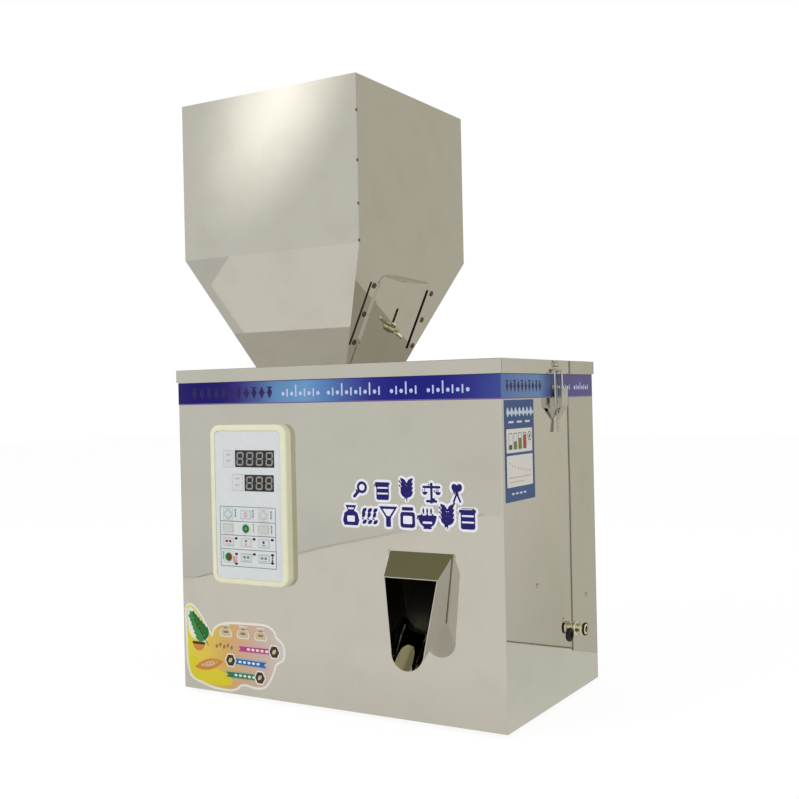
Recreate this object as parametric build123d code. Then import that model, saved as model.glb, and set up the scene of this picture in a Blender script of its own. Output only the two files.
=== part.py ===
from build123d import *
import os
from math import atan2, cos, degrees, hypot, radians, sin, tan

# Bench-top powder filling machine: a square hopper stands on a lift-off lid, a vibrating
# trough carries the powder to a weigh bucket, and a chute in the front lets it out.
# Millimetres, +Z up, the front faces -Y, origin on the floor under the middle.

# Box of folded stainless sheet
body_width = 400.0
body_depth = 240.0
body_height = 354.8
sheet = 1.2
bend_radius = 1.5
rear_flange = 14.0
top_flange = 12.0
seat_gap = 0.1
foot_height = 5.0
foot_radius = 11.0
foot_inset = 38.0
rear_reach = 4.0

# Lid with folded skirts
lid_sheet = 1.2
skirt_height = 14.0
skirt_gap = 0.3
skirt_slit = 0.6

# Hopper
hopper_side = 232.0
hopper_offset = -73.0
hopper_height = 173.0
shoulder_above_lid = 123.0
throat_side = 121.0
outlet_below_lid = 56.0
hopper_sheet = 1.2
rim_hem = 12.0
weld_flange = 14.0
hole_gap = 0.4

# Gate on the taper face: plate, rails, stud and wing nut
gate_sheet = 1.5
gate_half_width = 54.0
gate_low_half_width = 38.0
gate_top = 30.0
gate_shoulder = 137.0
gate_bottom = 163.0
gate_travel = 21.0
gate_lip = 13.0
gate_corner = 5.0
gate_gap = 0.3
window_half_width = 34.0
rail_sheet = 1.2
rail_top = 38.0
rail_bottom = 111.0
rail_flange = 14.5
rail_overlap = 3.5
stud_place = 87.0
stud_radius = 2.0
stud_length = 13.0
slot_width = 5.0
nut_height = 7.0
nut_radius = 5.2
nut_wing = 16.0
nut_wing_sheet = 3.0
nut_wing_rise = 4.5
nut_turn = -31.0
turn_gap = 0.05
rivet_radius = 1.6
rivet_head = 3.2
rivet_dome = 1.2
rivet_tail = 0.8
rivet_rows = 3

# Draw latches, one on each side
latch_past_middle = 10.0
catch_width = 16.0
catch_height = 13.0
catch_sheet = 1.0
catch_lip = 6.0
catch_corner = 3.5
catch_screw_low = 4.0
catch_screw_out = 3.2
latch_sheet = 1.0
latch_base_height = 34.0
latch_base_rise = 8.0
latch_screw_low = 5.0
latch_screw_step = 6.0
latch_ear_gap = 12.0
latch_below_rim = 32.8
lever_pivot_out = 7.5
lever_width = 16.6
lever_tail = 41.0
lever_wall = 1.0
lever_clear = 3.0
ear_clear = 0.4
lever_cheek = 16.0
lever_cheek_in = 4.2
lever_head = 4.5
lever_neck = 5.6
lever_neck_out = 2.4
lever_lip = 10.0
lever_lip_out = 3.6
bail_wire = 2.5
bail_drop = 12.0
bail_inset = 2.5
latch_pin_radius = 1.25

# Control panel on the front
panel_left = -148.0
panel_width = 102.5
panel_low = 122.0
panel_height = 173.0
panel_out = 10.0
panel_corner = 12.0
panel_edge = 2.5
face_margin = 6.5
face_recess = 0.8
face_sheet = 1.0
face_ledge = 3.0
board_sheet = 1.6
board_off_wall = 3.4
display_sheet = 0.8
key_columns = (-124.7, -100.6, -76.9)
key_rows = (198.2, 183.2, 168.2, 151.8)
key_round = 5.3
key_wide = 15.0
key_tall = 9.4
key_proud = 0.3
key_depth = 1.2
key_gap = 0.15
key_corner = 1.2
key_edge = 0.2
switch_side = 6.0
board_inset = 6.0
standoff_inset = 11.0
standoff_radius = 3.0
round_keys = ((0, 0), (0, 2), (1, 1), (3, 0))
windows = ((-113.4, -60.8, 249.2, 267.4), (-101.0, -61.9, 223.6, 241.2))

# Discharge chute: a folded hood that tapers to a round spout
chute_middle = 110.4
chute_sheet = 1.0
chute_top = 167.7
chute_top_half = 35.75
chute_low_half = 27.0
chute_low = 86.0
spout_out = 34.0
spout_top_out = 23.0
spout_top = 145.7
spout_top_half = 30.0
spout_low = 57.0
spout_low_half = 19.0
chute_inside = 12.0
chute_gap = 2.4
chute_flange = 9.0
slide_angle = 36.0
slide_back = 138.0
slide_below_doors = 17.0
slide_leg = 28.0
slide_foot = 16.0
slide_sheet = 1.5

# Vibrating trough and its drive
trough_back = 67.0
trough_end = 88.0
trough_half = 55.0
powder_gap = 12.0
trough_wall = 37.0
trough_sheet = 1.5
trough_hem = 6.0
spout_from = -10.0
spout_front = 62.0
spout_width = 62.0
spring_angle = 20.0
spring_thick = 1.5
spring_width = 44.0
spring_feet = (-30.0, 60.0)
drive_width = 60.0
spring_rise = 91.5
mount_height = 15.0
drive_block = 24.0
carrier_thick = 6.0
carrier_from = -62.0
carrier_to = 62.0
drive_from = -32.0
drive_to = 96.0
magnet_place = 24.0
magnet_gap = 2.5
magnet_width = 30.0
magnet_depth = 26.0
magnet_slot = 5.0
bobbin_width = 24.0
bobbin_depth = 38.0
armature_side = 32.0
armature_thick = 8.0
drive_corner = 6.0
spring_seat = 8.0
bench_slot = 60.0
bench_slot_width = 12.0
bench_sheet = 2.0
bench_from = -66.0
bench_to = 104.0
bench_depth = 120.0
bench_foot = 16.0
mount_radius = 9.0

# Weigh bucket, its doors, and the load cell that carries it
bucket_below_trough = 10.0
bucket_straight = 28.0
bucket_taper = 35.0
bucket_half_x = 38.0
bucket_half_y = 40.0
bucket_front = 52.0
mouth_half_x = 21.0
mouth_half_y = 25.0
bucket_sheet = 1.0
door_sheet = 1.0
door_gap = 0.8
door_pin_radius = 1.5
door_pin_out = 4.0
door_pin_up = 2.5
door_arm = 9.0
door_ear = 3.6
bucket_ear = 5.6
bucket_ear_rise = 14.0
bucket_ear_sheet = 1.5
cell_width = 22.0
cell_height = 22.0
cell_length = 110.0
cell_hole = 7.0
cell_below_top = 46.0
arm_width = 26.0
arm_sheet = 2.0
arm_drop = 14.0
cell_gap = 14.0
post_side = 28.0
post_wall = 2.0
post_plate = 3.0
post_foot = 46.0
solenoid_side = 20.0
solenoid_length = 28.0
solenoid_reach = 17.0
plunger_radius = 3.0
bracket_sheet = 1.5
bracket_foot = 14.0
plunger_gap = 1.6
plunger_collar = 1.5
door_edge = 3.5

# Electrics, side openings and small screws
grommet_from_rear = 82.2
grommet_height = 63.9
grommet_hole = 6.0
grommet_bore = 3.6
grommet_lip = 2.0
grommet_inside = 3.2
socket_from_rear = 66.8
socket_height = 68.0
socket_radius = 6.2
socket_reach = 13.0
socket_bore = 3.4
socket_depth = 8.0
socket_floor = 3.0
socket_nut = 3.0
screw_radius = 1.5
screw_head = 2.6
screw_head_rise = 1.4
screw_reach = 5.0
side_screws = ((-43.0, 128.8), (22.3, 82.4), (89.4, 98.1))
louvre_count = 8
louvre_pitch = 9.0
louvre_width = 70.0
louvre_low = 60.0
rear_screw_rows = 4
rear_screw_end = 30.0
core_width = 48.0
core_depth = 60.0
core_height = 50.0
coil_width = 66.0
coil_depth = 34.0
coil_height = 34.0
yoke_width = 56.0
yoke_depth = 88.0
yoke_plate = 3.0
power_width = 66.0
power_depth = 100.0
power_place = 22.0
power_foot = 8.0
power_sheet = 1.6
fin_count = 5
fin_pitch = 5.0
fin_sheet = 2.0
fin_height = 24.4
relay_width = 18.0
relay_depth = 20.0
relay_height = 16.4
capacitor_radius = 8.0
capacitor_height = 26.0

# Places worked out from the sizes above
front_y = -(body_depth + rear_reach - spout_out) / 2
back_y = front_y + body_depth
middle_y = (front_y + back_y) / 2
half_width = body_width / 2
floor_z = foot_height
rim_z = floor_z + body_height
lid_top = rim_z + lid_sheet
shoulder_z = lid_top + shoulder_above_lid
hopper_top = shoulder_z + hopper_height
outlet_z = lid_top - outlet_below_lid
taper = (hopper_side - throat_side) / 2 / shoulder_above_lid
taper_tilt = degrees(atan2(taper, 1))
outlet_half = hopper_side / 2 - taper * (shoulder_z - outlet_z)
slant_wall = hopper_sheet / cos(radians(taper_tilt))

# The taper face on the right: u runs across it, v up it and w out of it
taper_face = Plane(
    origin=(hopper_offset + hopper_side / 2, middle_y, shoulder_z),
    x_dir=(0, 1, 0),
    z_dir=(cos(radians(taper_tilt)), 0, -sin(radians(taper_tilt))),
)
nut_low = gate_gap + gate_sheet + gate_gap
latch_y = middle_y + latch_past_middle
lever_pivot_height = body_height - latch_below_rim
latch_base_top = lever_pivot_height + latch_base_rise

# Heights of the inner parts, from the hopper's outlet down
trough_floor = outlet_z - powder_gap - floor_z
drive_low = trough_floor - trough_sheet - carrier_thick - spring_rise - drive_block
bench_top = drive_low - mount_height
bucket_top = trough_floor - bucket_below_trough
bucket_shoulder = bucket_top - bucket_straight
bucket_low = bucket_shoulder - bucket_taper
cell_low = bucket_top - cell_below_top
slide_rim = bucket_low - slide_below_doors

# Places of the side openings, from the front
grommet_back = body_depth - grommet_from_rear
socket_back = body_depth - socket_from_rear


def block(x0, x1, y0, y1, z0, z1):
    """Box between two corners."""
    return Pos((x0 + x1) / 2, (y0 + y1) / 2, (z0 + z1) / 2) * Box(x1 - x0, y1 - y0, z1 - z0)


def strip(points, thick, side=Side.LEFT, kind=Kind.ARC):
    """Closed outline of a sheet that is folded along a line of points."""
    line = Polyline(*points)
    return make_face(line.offset_2d(thick, kind=kind, side=side, closed=True))


def rod(start, end, radius):
    """Round bar between two points."""
    start = Vector(*start)
    end = Vector(*end)
    run = end - start
    return extrude(Plane(origin=start, z_dir=run) * Circle(radius), amount=run.length)


def mirrored(piece):
    """The same piece on the other side of the box."""
    return mirror(piece, about=Plane.YZ)


def group(pieces):
    """Separate solids that share one node."""
    solids = []
    for piece in pieces:
        solids.extend(piece.solids())
    return Compound(children=solids)


# Box

def chute_section(inset=0.0):
    """Rounded wedge outline of the chute, as it passes the front sheet."""
    top_half = chute_top_half - inset
    low_half = chute_low_half - inset
    top = floor_z + chute_top - inset
    low = floor_z + chute_low + inset
    turn = low + low_half * 0.55
    with BuildLine() as edge:
        Line((top_half, top), (-top_half, top))
        Line((-top_half, top), (-low_half, turn))
        ThreePointArc((-low_half, turn), (0, low), (low_half, turn))
        Line((low_half, turn), (top_half, top))
    return make_face(edge.line)


def at_front(sketch, out=0.0):
    """Puts an outline drawn in X and Z on the front sheet, a little way out."""
    return Plane(origin=(0, front_y - out, 0), x_dir=(1, 0, 0), z_dir=(0, -1, 0)) * sketch


def panel_outline(inset=0.0):
    """Rounded outline of the control panel, drawn in X and Z."""
    middle = (panel_left + panel_width / 2, floor_z + panel_low + panel_height / 2)
    corner = max(panel_corner - inset, 1.0)
    return Pos(*middle) * RectangleRounded(panel_width - 2 * inset, panel_height - 2 * inset, corner)


def make_casing():
    """Front and both sides, folded from one sheet, with return flanges at the rear and the top."""
    rear = back_y - sheet
    plan = strip(
        [
            (-half_width + sheet + rear_flange, rear - sheet),
            (-half_width + sheet, rear - sheet),
            (-half_width + sheet, front_y + sheet),
            (half_width - sheet, front_y + sheet),
            (half_width - sheet, rear - sheet),
            (half_width - sheet - rear_flange, rear - sheet),
        ],
        sheet,
        Side.RIGHT,
    )
    wrap = Pos(0, 0, floor_z) * extrude(plan, amount=body_height)
    inner = half_width - sheet
    flange = block(-inner, inner, front_y + sheet, rear - sheet, rim_z - sheet, rim_z)
    flange -= block(
        -inner + top_flange,
        inner - top_flange,
        front_y + sheet + top_flange,
        rear,
        rim_z - 2 * sheet,
        rim_z + sheet,
    )
    casing = wrap + flange
    window = Pos(chute_middle, 0, 0) * at_front(offset(chute_section(), amount=chute_gap))
    casing -= extrude(window, amount=2 * sheet, both=True)
    cutout = at_front(panel_outline(panel_edge + face_margin + face_ledge + 6))
    casing -= extrude(cutout, amount=2 * sheet, both=True)
    for back, height, radius in side_holes():
        casing -= rod(
            (half_width - 2 * sheet, front_y + back, floor_z + height),
            (half_width + sheet, front_y + back, floor_z + height),
            radius,
        )
    for place in latch_screw_places():
        hole = rod((half_width - 2 * sheet, *place), (half_width + sheet, *place), screw_radius)
        casing -= hole
        casing -= mirrored(hole)
    for x, z in rear_screw_places():
        casing -= rod((x, rear - 2 * sheet, z), (x, rear + sheet, z), screw_radius)
    return casing


def side_holes():
    """Each round hole in the right side: how far back, how high and how wide."""
    holes = [(grommet_back, grommet_height, grommet_hole), (socket_back, socket_height, socket_radius - 1)]
    for past_middle, height in side_screws:
        holes.append((body_depth / 2 + past_middle, height, screw_radius))
    return holes


def latch_screw_places():
    """Y and Z of the two screws of each latch base."""
    low = floor_z + latch_base_top - latch_base_height
    return [(latch_y, low + latch_screw_low), (latch_y, low + latch_screw_low + latch_screw_step)]


def rear_screw_places():
    """X and Z of the screws of the rear panel."""
    places = []
    column = half_width - sheet - rear_flange / 2
    step = (body_height - 2 * rear_screw_end) / (rear_screw_rows - 1)
    for row in range(rear_screw_rows):
        height = floor_z + rear_screw_end + row * step
        places.append((-column, height))
        places.append((column, height))
    return places


def make_base_plate():
    """Shallow tray that closes the bottom."""
    half = half_width - sheet - seat_gap
    front = front_y + sheet + seat_gap
    rear = back_y - 2 * sheet - seat_gap
    tray = block(-half, half, front, rear, floor_z, floor_z + sheet)
    lip = top_flange
    corner = rear_flange + seat_gap
    tray += block(-half, -half + sheet, front + corner, rear - corner, floor_z, floor_z + lip)
    tray += block(half - sheet, half, front + corner, rear - corner, floor_z, floor_z + lip)
    tray += block(-half + corner, half - corner, front, front + sheet, floor_z, floor_z + lip)
    tray += block(-half + corner, half - corner, rear - sheet, rear, floor_z, floor_z + lip)
    for x, y in foot_places():
        tray -= rod((x, y, floor_z - sheet), (x, y, floor_z + 2 * sheet), screw_radius)
    return tray


def foot_places():
    """X and Y of the four feet."""
    places = []
    for x in (-half_width + foot_inset, half_width - foot_inset):
        for y in (front_y + foot_inset, back_y - foot_inset):
            places.append((x, y))
    return places


def make_feet():
    """Low rubber feet, each with a pocket for its screw."""
    feet = []
    for x, y in foot_places():
        profile = make_face(
            Polyline(
                (screw_radius, 0.4 * foot_height),
                (0.45 * foot_radius, 0.4 * foot_height),
                (0.45 * foot_radius, 0),
                (0.86 * foot_radius, 0),
                (foot_radius, foot_height),
                (screw_radius, foot_height),
                close=True,
            )
        )
        feet.append(Pos(x, y, 0) * revolve(Plane.XZ * profile, axis=Axis.Z))
    return group(feet)


def make_rear_panel():
    """Flat rear sheet with two columns of pressed louvres and a stiffening fold at the top."""
    half = half_width - 0.2
    panel = block(-half, half, back_y - sheet, back_y, floor_z, rim_z)
    fold_half = half_width - sheet - rear_flange - 2 * seat_gap
    panel += block(
        -fold_half, fold_half, back_y - sheet - top_flange, back_y - sheet, rim_z - sheet, rim_z
    )
    for side in (-1, 1):
        for row in range(louvre_count):
            z = floor_z + louvre_low + row * louvre_pitch
            panel = louvre(panel, side * 0.45 * half_width, z)
    for x, z in rear_screw_places():
        panel -= rod((x, back_y - 2 * sheet, z), (x, back_y + sheet, z), screw_radius)
    return panel


def louvre(panel, x, z):
    """One pressed louvre: a hood pushed out of the sheet, open at its lower edge."""
    rise = 0.7 * louvre_pitch
    wedge = Polyline((back_y - sheet, z), (back_y + rear_reach, z), (back_y - sheet, z + rise), close=True)
    hood = extrude(Plane.YZ * make_face(wedge), amount=louvre_width / 2, both=True)
    inside = Polyline(
        (back_y - 2 * sheet, z - 0.1),
        (back_y + rear_reach - sheet, z - 0.1),
        (back_y + rear_reach - sheet, z + 0.2),
        (back_y - 2 * sheet, z + 0.94 * rise),
        close=True,
    )
    hollow = extrude(Plane.YZ * make_face(inside), amount=louvre_width / 2 - sheet, both=True)
    return panel + Pos(x, 0, 0) * hood - Pos(x, 0, 0) * hollow


def pan_screw(place, outward, shank):
    """Small pan-head screw whose head sits at a place and whose shank points inwards."""
    outward = Vector(*outward)
    place = Vector(*place)
    head = extrude(Plane(origin=place, z_dir=outward) * Circle(screw_head), amount=screw_head_rise)
    rims = head.edges().filter_by(GeomType.CIRCLE)
    head = chamfer(rims.sort_by(lambda rim: (rim.center() - place).dot(outward))[-1], 0.4 * screw_head_rise)
    stem = extrude(Plane(origin=place, z_dir=outward) * Circle(screw_radius - turn_gap), amount=-shank)
    return head + stem


def make_case_screws():
    """Screws of the rear panel, and the three that show on the right side."""
    screws = []
    for x, z in rear_screw_places():
        screws.append(pan_screw((x, back_y, z), (0, 1, 0), screw_reach))
    for past_middle, height in side_screws:
        place = (half_width, middle_y + past_middle, floor_z + height)
        screws.append(pan_screw(place, (1, 0, 0), screw_reach))
    for x, y in foot_places():
        screws.append(pan_screw((x, y, 0.4 * foot_height), (0, 0, -1), screw_reach))
    return group(screws)


# Lid and hopper

def make_lid():
    """Lid sheet with four folded skirts, open at the corners, and a hole for the hopper."""
    reach = skirt_gap + lid_sheet
    half = half_width + reach
    front = front_y - reach
    rear = back_y + reach
    low = lid_top - skirt_height
    lid = block(-half, half, front, rear, rim_z, lid_top)
    lid = fillet(lid.edges().filter_by(Axis.X).group_by(Axis.Z)[-1], bend_radius / 2)
    inner_half = half_width + skirt_gap
    lid += block(-half, half, front, front + lid_sheet, low, rim_z)
    lid += block(-half, half, rear - lid_sheet, rear, low, rim_z)
    side_front = front + lid_sheet + skirt_slit
    side_rear = rear - lid_sheet - skirt_slit
    lid += block(-half, -inner_half, side_front, side_rear, low, rim_z)
    lid += block(inner_half, half, side_front, side_rear, low, rim_z)
    hole_half = throat_side / 2 + hole_gap
    lid -= block(
        hopper_offset - hole_half,
        hopper_offset + hole_half,
        middle_y - hole_half,
        middle_y + hole_half,
        rim_z - lid_sheet,
        lid_top + lid_sheet,
    )
    lid -= gate_passage()
    return lid


def gate_passage():
    """Notch beside the hopper that lets the gate plate through the lid."""
    out = (2 * gate_gap + gate_sheet + hole_gap) / cos(radians(taper_tilt)) + taper * 2 * lid_sheet
    reach = hopper_offset + throat_side / 2
    half = gate_half_width + hole_gap
    low = rim_z - 2 * lid_sheet - 1
    return block(reach - 2, reach + out, middle_y - half, middle_y + half, low, lid_top + lid_sheet)


def frustum(half_low, z_low, half_high, z_high):
    """Square taper between two heights."""
    low = Pos(hopper_offset, middle_y, z_low) * Rectangle(2 * half_low, 2 * half_low)
    high = Pos(hopper_offset, middle_y, z_high) * Rectangle(2 * half_high, 2 * half_high)
    return loft([low, high], ruled=True)


def make_hopper():
    """Square bin with a hemmed rim, its taper, the outlet window, and the flange welded under the lid."""
    half = hopper_side / 2
    outer = frustum(half, shoulder_z, half, hopper_top) + frustum(outlet_half, outlet_z, half, shoulder_z)
    inner_half = half - hopper_sheet
    inner_low = outlet_half - slant_wall - taper * 1.0
    inner = frustum(inner_half, shoulder_z, inner_half, hopper_top + 1)
    inner += frustum(inner_low, outlet_z - 1.0, inner_half, shoulder_z)
    hem_half = half - 2 * hopper_sheet
    hem = frustum(half, hopper_top - rim_hem, half, hopper_top)
    hem -= frustum(hem_half, hopper_top - rim_hem - 1, hem_half, hopper_top + 1)
    shell = outer - inner + hem
    flange_half = throat_side / 2 + weld_flange
    flange_top = rim_z
    at_flange = throat_side / 2 - taper * (lid_top - flange_top)
    flange = frustum(flange_half, flange_top - hopper_sheet, flange_half, flange_top)
    flange -= frustum(
        at_flange - taper * hopper_sheet - 0.5, flange_top - hopper_sheet, at_flange - 0.5, flange_top
    )
    shell += flange - gate_passage_low()
    shell -= outlet_window()
    for u, v in rivet_places():
        shell -= taper_face * Pos(u, v, 0) * Cylinder(rivet_radius + turn_gap, 4 * hopper_sheet)
    return shell


def gate_passage_low():
    """Room in the welded flange for the gate plate."""
    half = gate_half_width + hole_gap
    out = gate_gap + gate_sheet + hole_gap + 0.6
    return taper_face * Pos(0, -gate_shoulder, 0) * block(-half, half, -20, 20, 0, out)


def outlet_window():
    """Open notch in the lowest part of the taper's right wall, behind the gate."""
    low = (shoulder_z - outlet_z) / cos(radians(taper_tilt)) + 2
    return taper_face * block(
        -window_half_width, window_half_width, -low, -gate_bottom + 3, -3 * hopper_sheet, hopper_sheet
    )


def rivet_places():
    """U and v of the rivets that hold the rails."""
    places = []
    inset = 4.0
    step = (rail_bottom - rail_top - 2 * inset) / (rivet_rows - 1)
    across = gate_half_width + 0.6 * rail_flange
    for side in (-1, 1):
        for row in range(rivet_rows):
            places.append((side * across, -rail_top - inset - row * step))
    return places


def make_rails():
    """Two folded guide strips: a flange on the taper and a lip over the plate's edge."""
    inner = gate_half_width + gate_gap
    lip_low = 2 * gate_gap + gate_sheet
    profile = strip(
        [
            (gate_half_width + rail_flange, 0),
            (inner, 0),
            (inner, lip_low),
            (gate_half_width - rail_overlap, lip_low),
        ],
        rail_sheet,
        Side.RIGHT,
        Kind.INTERSECTION,
    )
    length = rail_bottom - rail_top
    rail = Pos(0, -rail_top, 0) * extrude(Plane.XZ * profile, amount=length)
    rails = [taper_face * rail, taper_face * mirror(rail, about=Plane.YZ)]
    drilled = []
    for piece in rails:
        for u, v in rivet_places():
            piece = piece - taper_face * Pos(u, v, 0) * Cylinder(rivet_radius + turn_gap, 4 * hopper_sheet)
        drilled.append(piece)
    return group(drilled)


def make_rivets():
    """Domed rivets through rail and taper."""
    rivets = []
    grip = rail_sheet + hopper_sheet
    for u, v in rivet_places():
        head = Pos(0, 0, rail_sheet) * extrude(Circle(rivet_head), amount=rivet_dome)
        head = fillet(head.edges().group_by(Axis.Z)[-1], 0.8 * rivet_dome)
        shank = Pos(0, 0, rail_sheet - grip) * extrude(Circle(rivet_radius), amount=grip)
        tail = Pos(0, 0, -hopper_sheet - rivet_tail) * extrude(Circle(0.8 * rivet_head), amount=rivet_tail)
        rivets.append(taper_face * Pos(u, v, 0) * (head + shank + tail))
    return group(rivets)


def make_gate_plate():
    """Sliding plate with a slot, a narrow lower end and a folded-out lens-shaped lip."""
    low = gate_low_half_width
    half = gate_half_width
    outline = make_face(
        Polyline(
            (-half + gate_corner, -gate_top),
            (half - gate_corner, -gate_top),
            (half, -gate_top - 1.4 * gate_corner),
            (half, -gate_shoulder),
            (low, -gate_shoulder - gate_corner),
            (low, -gate_bottom),
            (-low, -gate_bottom),
            (-low, -gate_shoulder - gate_corner),
            (-half, -gate_shoulder),
            (-half, -gate_top - 1.4 * gate_corner),
            close=True,
        )
    )
    slot_top = -stud_place + gate_travel
    slot = Pos(0, (slot_top - stud_place) / 2) * SlotCenterToCenter(gate_travel, slot_width, rotation=90)
    plate = extrude(taper_face * Pos(0, 0, gate_gap) * (outline - slot), amount=gate_sheet)
    lip_half = half - gate_corner
    lip_edge = make_face(
        Line((-lip_half, 0), (lip_half, 0)) + ThreePointArc((lip_half, 0), (0, gate_lip), (-lip_half, 0))
    )
    fold = Plane(
        origin=taper_face.from_local_coords((0, -gate_top - gate_sheet, gate_gap)),
        x_dir=taper_face.x_dir,
        z_dir=-taper_face.y_dir,
    )
    return plate + extrude(fold * Pos(0, 0, -gate_sheet) * lip_edge, amount=gate_sheet)


def make_gate_stud():
    """Stud welded to the taper, with a small weld collar in the slot."""
    place = taper_face * Pos(0, -stud_place, 0)
    stud = place * Cylinder(stud_radius, stud_length, align=(Align.CENTER, Align.CENTER, Align.MIN))
    return chamfer(stud.edges().sort_by(lambda e: taper_face.to_local_coords(e.center()).Z)[-1], 0.5)


def make_wing_nut():
    """Wing nut: a round hub and two swept wings with round tips, free on its stud."""
    hub = extrude(Circle(nut_radius), amount=nut_height)
    hub = chamfer(hub.edges().group_by(Axis.Z)[-1], 0.6)
    root = nut_radius - 1.6
    tip = nut_height + nut_wing_rise
    wing_edge = make_face(
        Polyline(
            (root, 0.6),
            (nut_radius + 1.5, 0.6),
            (nut_wing, nut_height),
            (nut_wing, tip),
            (nut_wing - 5.0, tip),
            (root, nut_height - 0.8),
            close=True,
        )
    )
    wing = extrude(Plane.XZ * wing_edge, amount=nut_wing_sheet / 2, both=True)
    tips = wing.edges().filter_by(Axis.Y).filter_by(lambda edge: edge.center().Z > nut_height - 0.1)
    wing = fillet(tips.sort_by(Axis.X)[-2:], 2.0)
    wing = fillet(wing.faces().sort_by(Axis.X)[-1].edges().filter_by(Axis.Z), 0.3 * nut_wing_sheet)
    nut = hub + wing + mirror(wing, about=Plane.YZ)
    nut -= Cylinder(stud_radius + turn_gap, 4 * nut_height)
    return taper_face * Pos(0, -stud_place, nut_low) * Rot(0, 0, nut_turn) * nut


# Latches

def side_place(out, height, back=0.0):
    """Point on the right latch: how far out of the wall, how high, and how far from its middle."""
    return (half_width + out, latch_y + back, floor_z + height)


def side_profile(points, width, thick, side=Side.LEFT, kind=Kind.ARC):
    """Sheet folded along points given as out and height, as wide as the latch needs."""
    face = Plane(origin=(half_width, latch_y, floor_z), x_dir=(1, 0, 0), z_dir=(0, -1, 0))
    return extrude(face * strip(points, thick, side, kind), amount=width / 2, both=True)


def lip_height():
    """Top of the catch's lip."""
    return body_height + lid_sheet - catch_height + catch_sheet


def bail_top():
    """Height of the middle of the bail's cross bar."""
    return lip_height() + 0.3 + bail_wire / 2


def make_catch():
    """Catch plate on the lid's skirt, with a lip that the bail pulls on."""
    skin = skirt_gap + lid_sheet
    top = body_height + lid_sheet - 0.5
    low = top - catch_height + 0.5
    plate = side_profile(
        [(skin, top), (skin, low), (skin + catch_lip + catch_sheet, low)], catch_width, catch_sheet, Side.LEFT
    )
    corners = plate.edges().filter_by(Axis.X).sort_by(Axis.Z)[-2:]
    plate = fillet(corners, catch_corner)
    screws = []
    high = top - catch_screw_low
    for back in (-catch_screw_out, catch_screw_out):
        screws.append(pan_screw(side_place(skin + catch_sheet, high, back), (1, 0, 0), 0.9 * catch_sheet))
        plate -= rod(side_place(skin - 0.2, high, back), side_place(skin + 2, high, back), screw_radius)
    return group([plate] + screws)


def make_latch_base():
    """Base plate screwed to the side, with two rounded ears for the lever's pin."""
    low = latch_base_top - latch_base_height
    half = latch_ear_gap / 2 + latch_sheet
    base = block(
        half_width,
        half_width + latch_sheet,
        latch_y - half,
        latch_y + half,
        floor_z + low,
        floor_z + latch_base_top,
    )
    out = lever_pivot_out
    up = lever_pivot_height
    turn = lever_clear - ear_clear
    face = Plane(origin=(half_width, latch_y, floor_z), x_dir=(1, 0, 0), z_dir=(0, -1, 0))
    leg = make_face(
        Polyline(
            (0, up - 1.4 * turn),
            (out - 1.9 * turn, up - 1.3 * turn),
            (out - 0.87 * turn, up + 0.5 * turn),
            (out, up),
            (out + turn, up),
            (out + turn, up - 3 * turn),
            (0, low + latch_sheet),
            close=True,
        )
    )
    ear = extrude(face * (leg + Pos(out, up) * Circle(turn)), amount=latch_sheet / 2, both=True)
    for side in (-1, 1):
        base += Pos(0, side * (half - latch_sheet / 2), 0) * ear
    base -= rod(side_place(out, up, -2 * half), side_place(out, up, 2 * half), latch_pin_radius + turn_gap)
    for y, z in latch_screw_places():
        base -= rod((half_width - 1, y, z), (half_width + 2 * latch_sheet, y, z), screw_radius)
    return base


def make_latch_pins():
    """Pivot pins and base screws of both latches."""
    half = lever_width / 2
    out = lever_pivot_out
    up = lever_pivot_height
    pieces = [rod(side_place(out, up, -half), side_place(out, up, half), latch_pin_radius)]
    for y, z in latch_screw_places():
        pieces.append(pan_screw((half_width + latch_sheet, y, z), (1, 0, 0), 4))
    return group(pieces + [mirrored(piece) for piece in pieces])


def make_lever():
    """Pressed lever: a tapered channel round the ears whose tail bends in and out again as a finger lip."""
    out = lever_pivot_out
    up = lever_pivot_height
    half = lever_width / 2
    neck = lever_neck / 2
    lip = lever_lip / 2
    top = up + lever_head
    waist = up - 0.85 * lever_cheek
    bend = up - 0.7 * lever_tail
    tail = up - lever_tail
    front = out + lever_clear
    bends = [(front, top), (front, waist), (lever_neck_out, bend), (lever_lip_out, tail)]
    web = side_profile(bends, lever_width, lever_wall, Side.LEFT)
    face = Plane(origin=(half_width, latch_y, floor_z), x_dir=(0, 1, 0), z_dir=(1, 0, 0))
    shape = make_face(
        Polyline(
            (-half, top + half),
            (half, top + half),
            (half, waist),
            (neck, bend),
            (lip, tail - half),
            (-lip, tail - half),
            (-neck, bend),
            (-half, waist),
            close=True,
        )
    )
    lever = web & extrude(face * shape, amount=5 * out)
    cheek_plane = Plane(origin=(half_width, latch_y, floor_z), x_dir=(1, 0, 0), z_dir=(0, -1, 0))
    rear = out - lever_cheek_in
    cheek_edge = make_face(
        Polyline(
            (front + lever_wall / 2, top),
            (out - 1, top),
            (rear, up + 1),
            (rear, up - lever_cheek),
            (out + 1, up - lever_cheek),
            (front + lever_wall / 2, waist),
            close=True,
        )
    )
    for side in (-1, 1):
        middle = side * (half - lever_wall / 2)
        lever += Pos(0, middle, 0) * extrude(cheek_plane * cheek_edge, amount=lever_wall / 2, both=True)
    across = lever_width
    lever -= rod(side_place(out, up, -across), side_place(out, up, across), latch_pin_radius + turn_gap)
    low = up - bail_drop
    hook = out - bail_inset
    lever -= rod(side_place(hook, low, -across), side_place(hook, low, across), bail_wire / 2 + turn_gap)
    return lever


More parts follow.
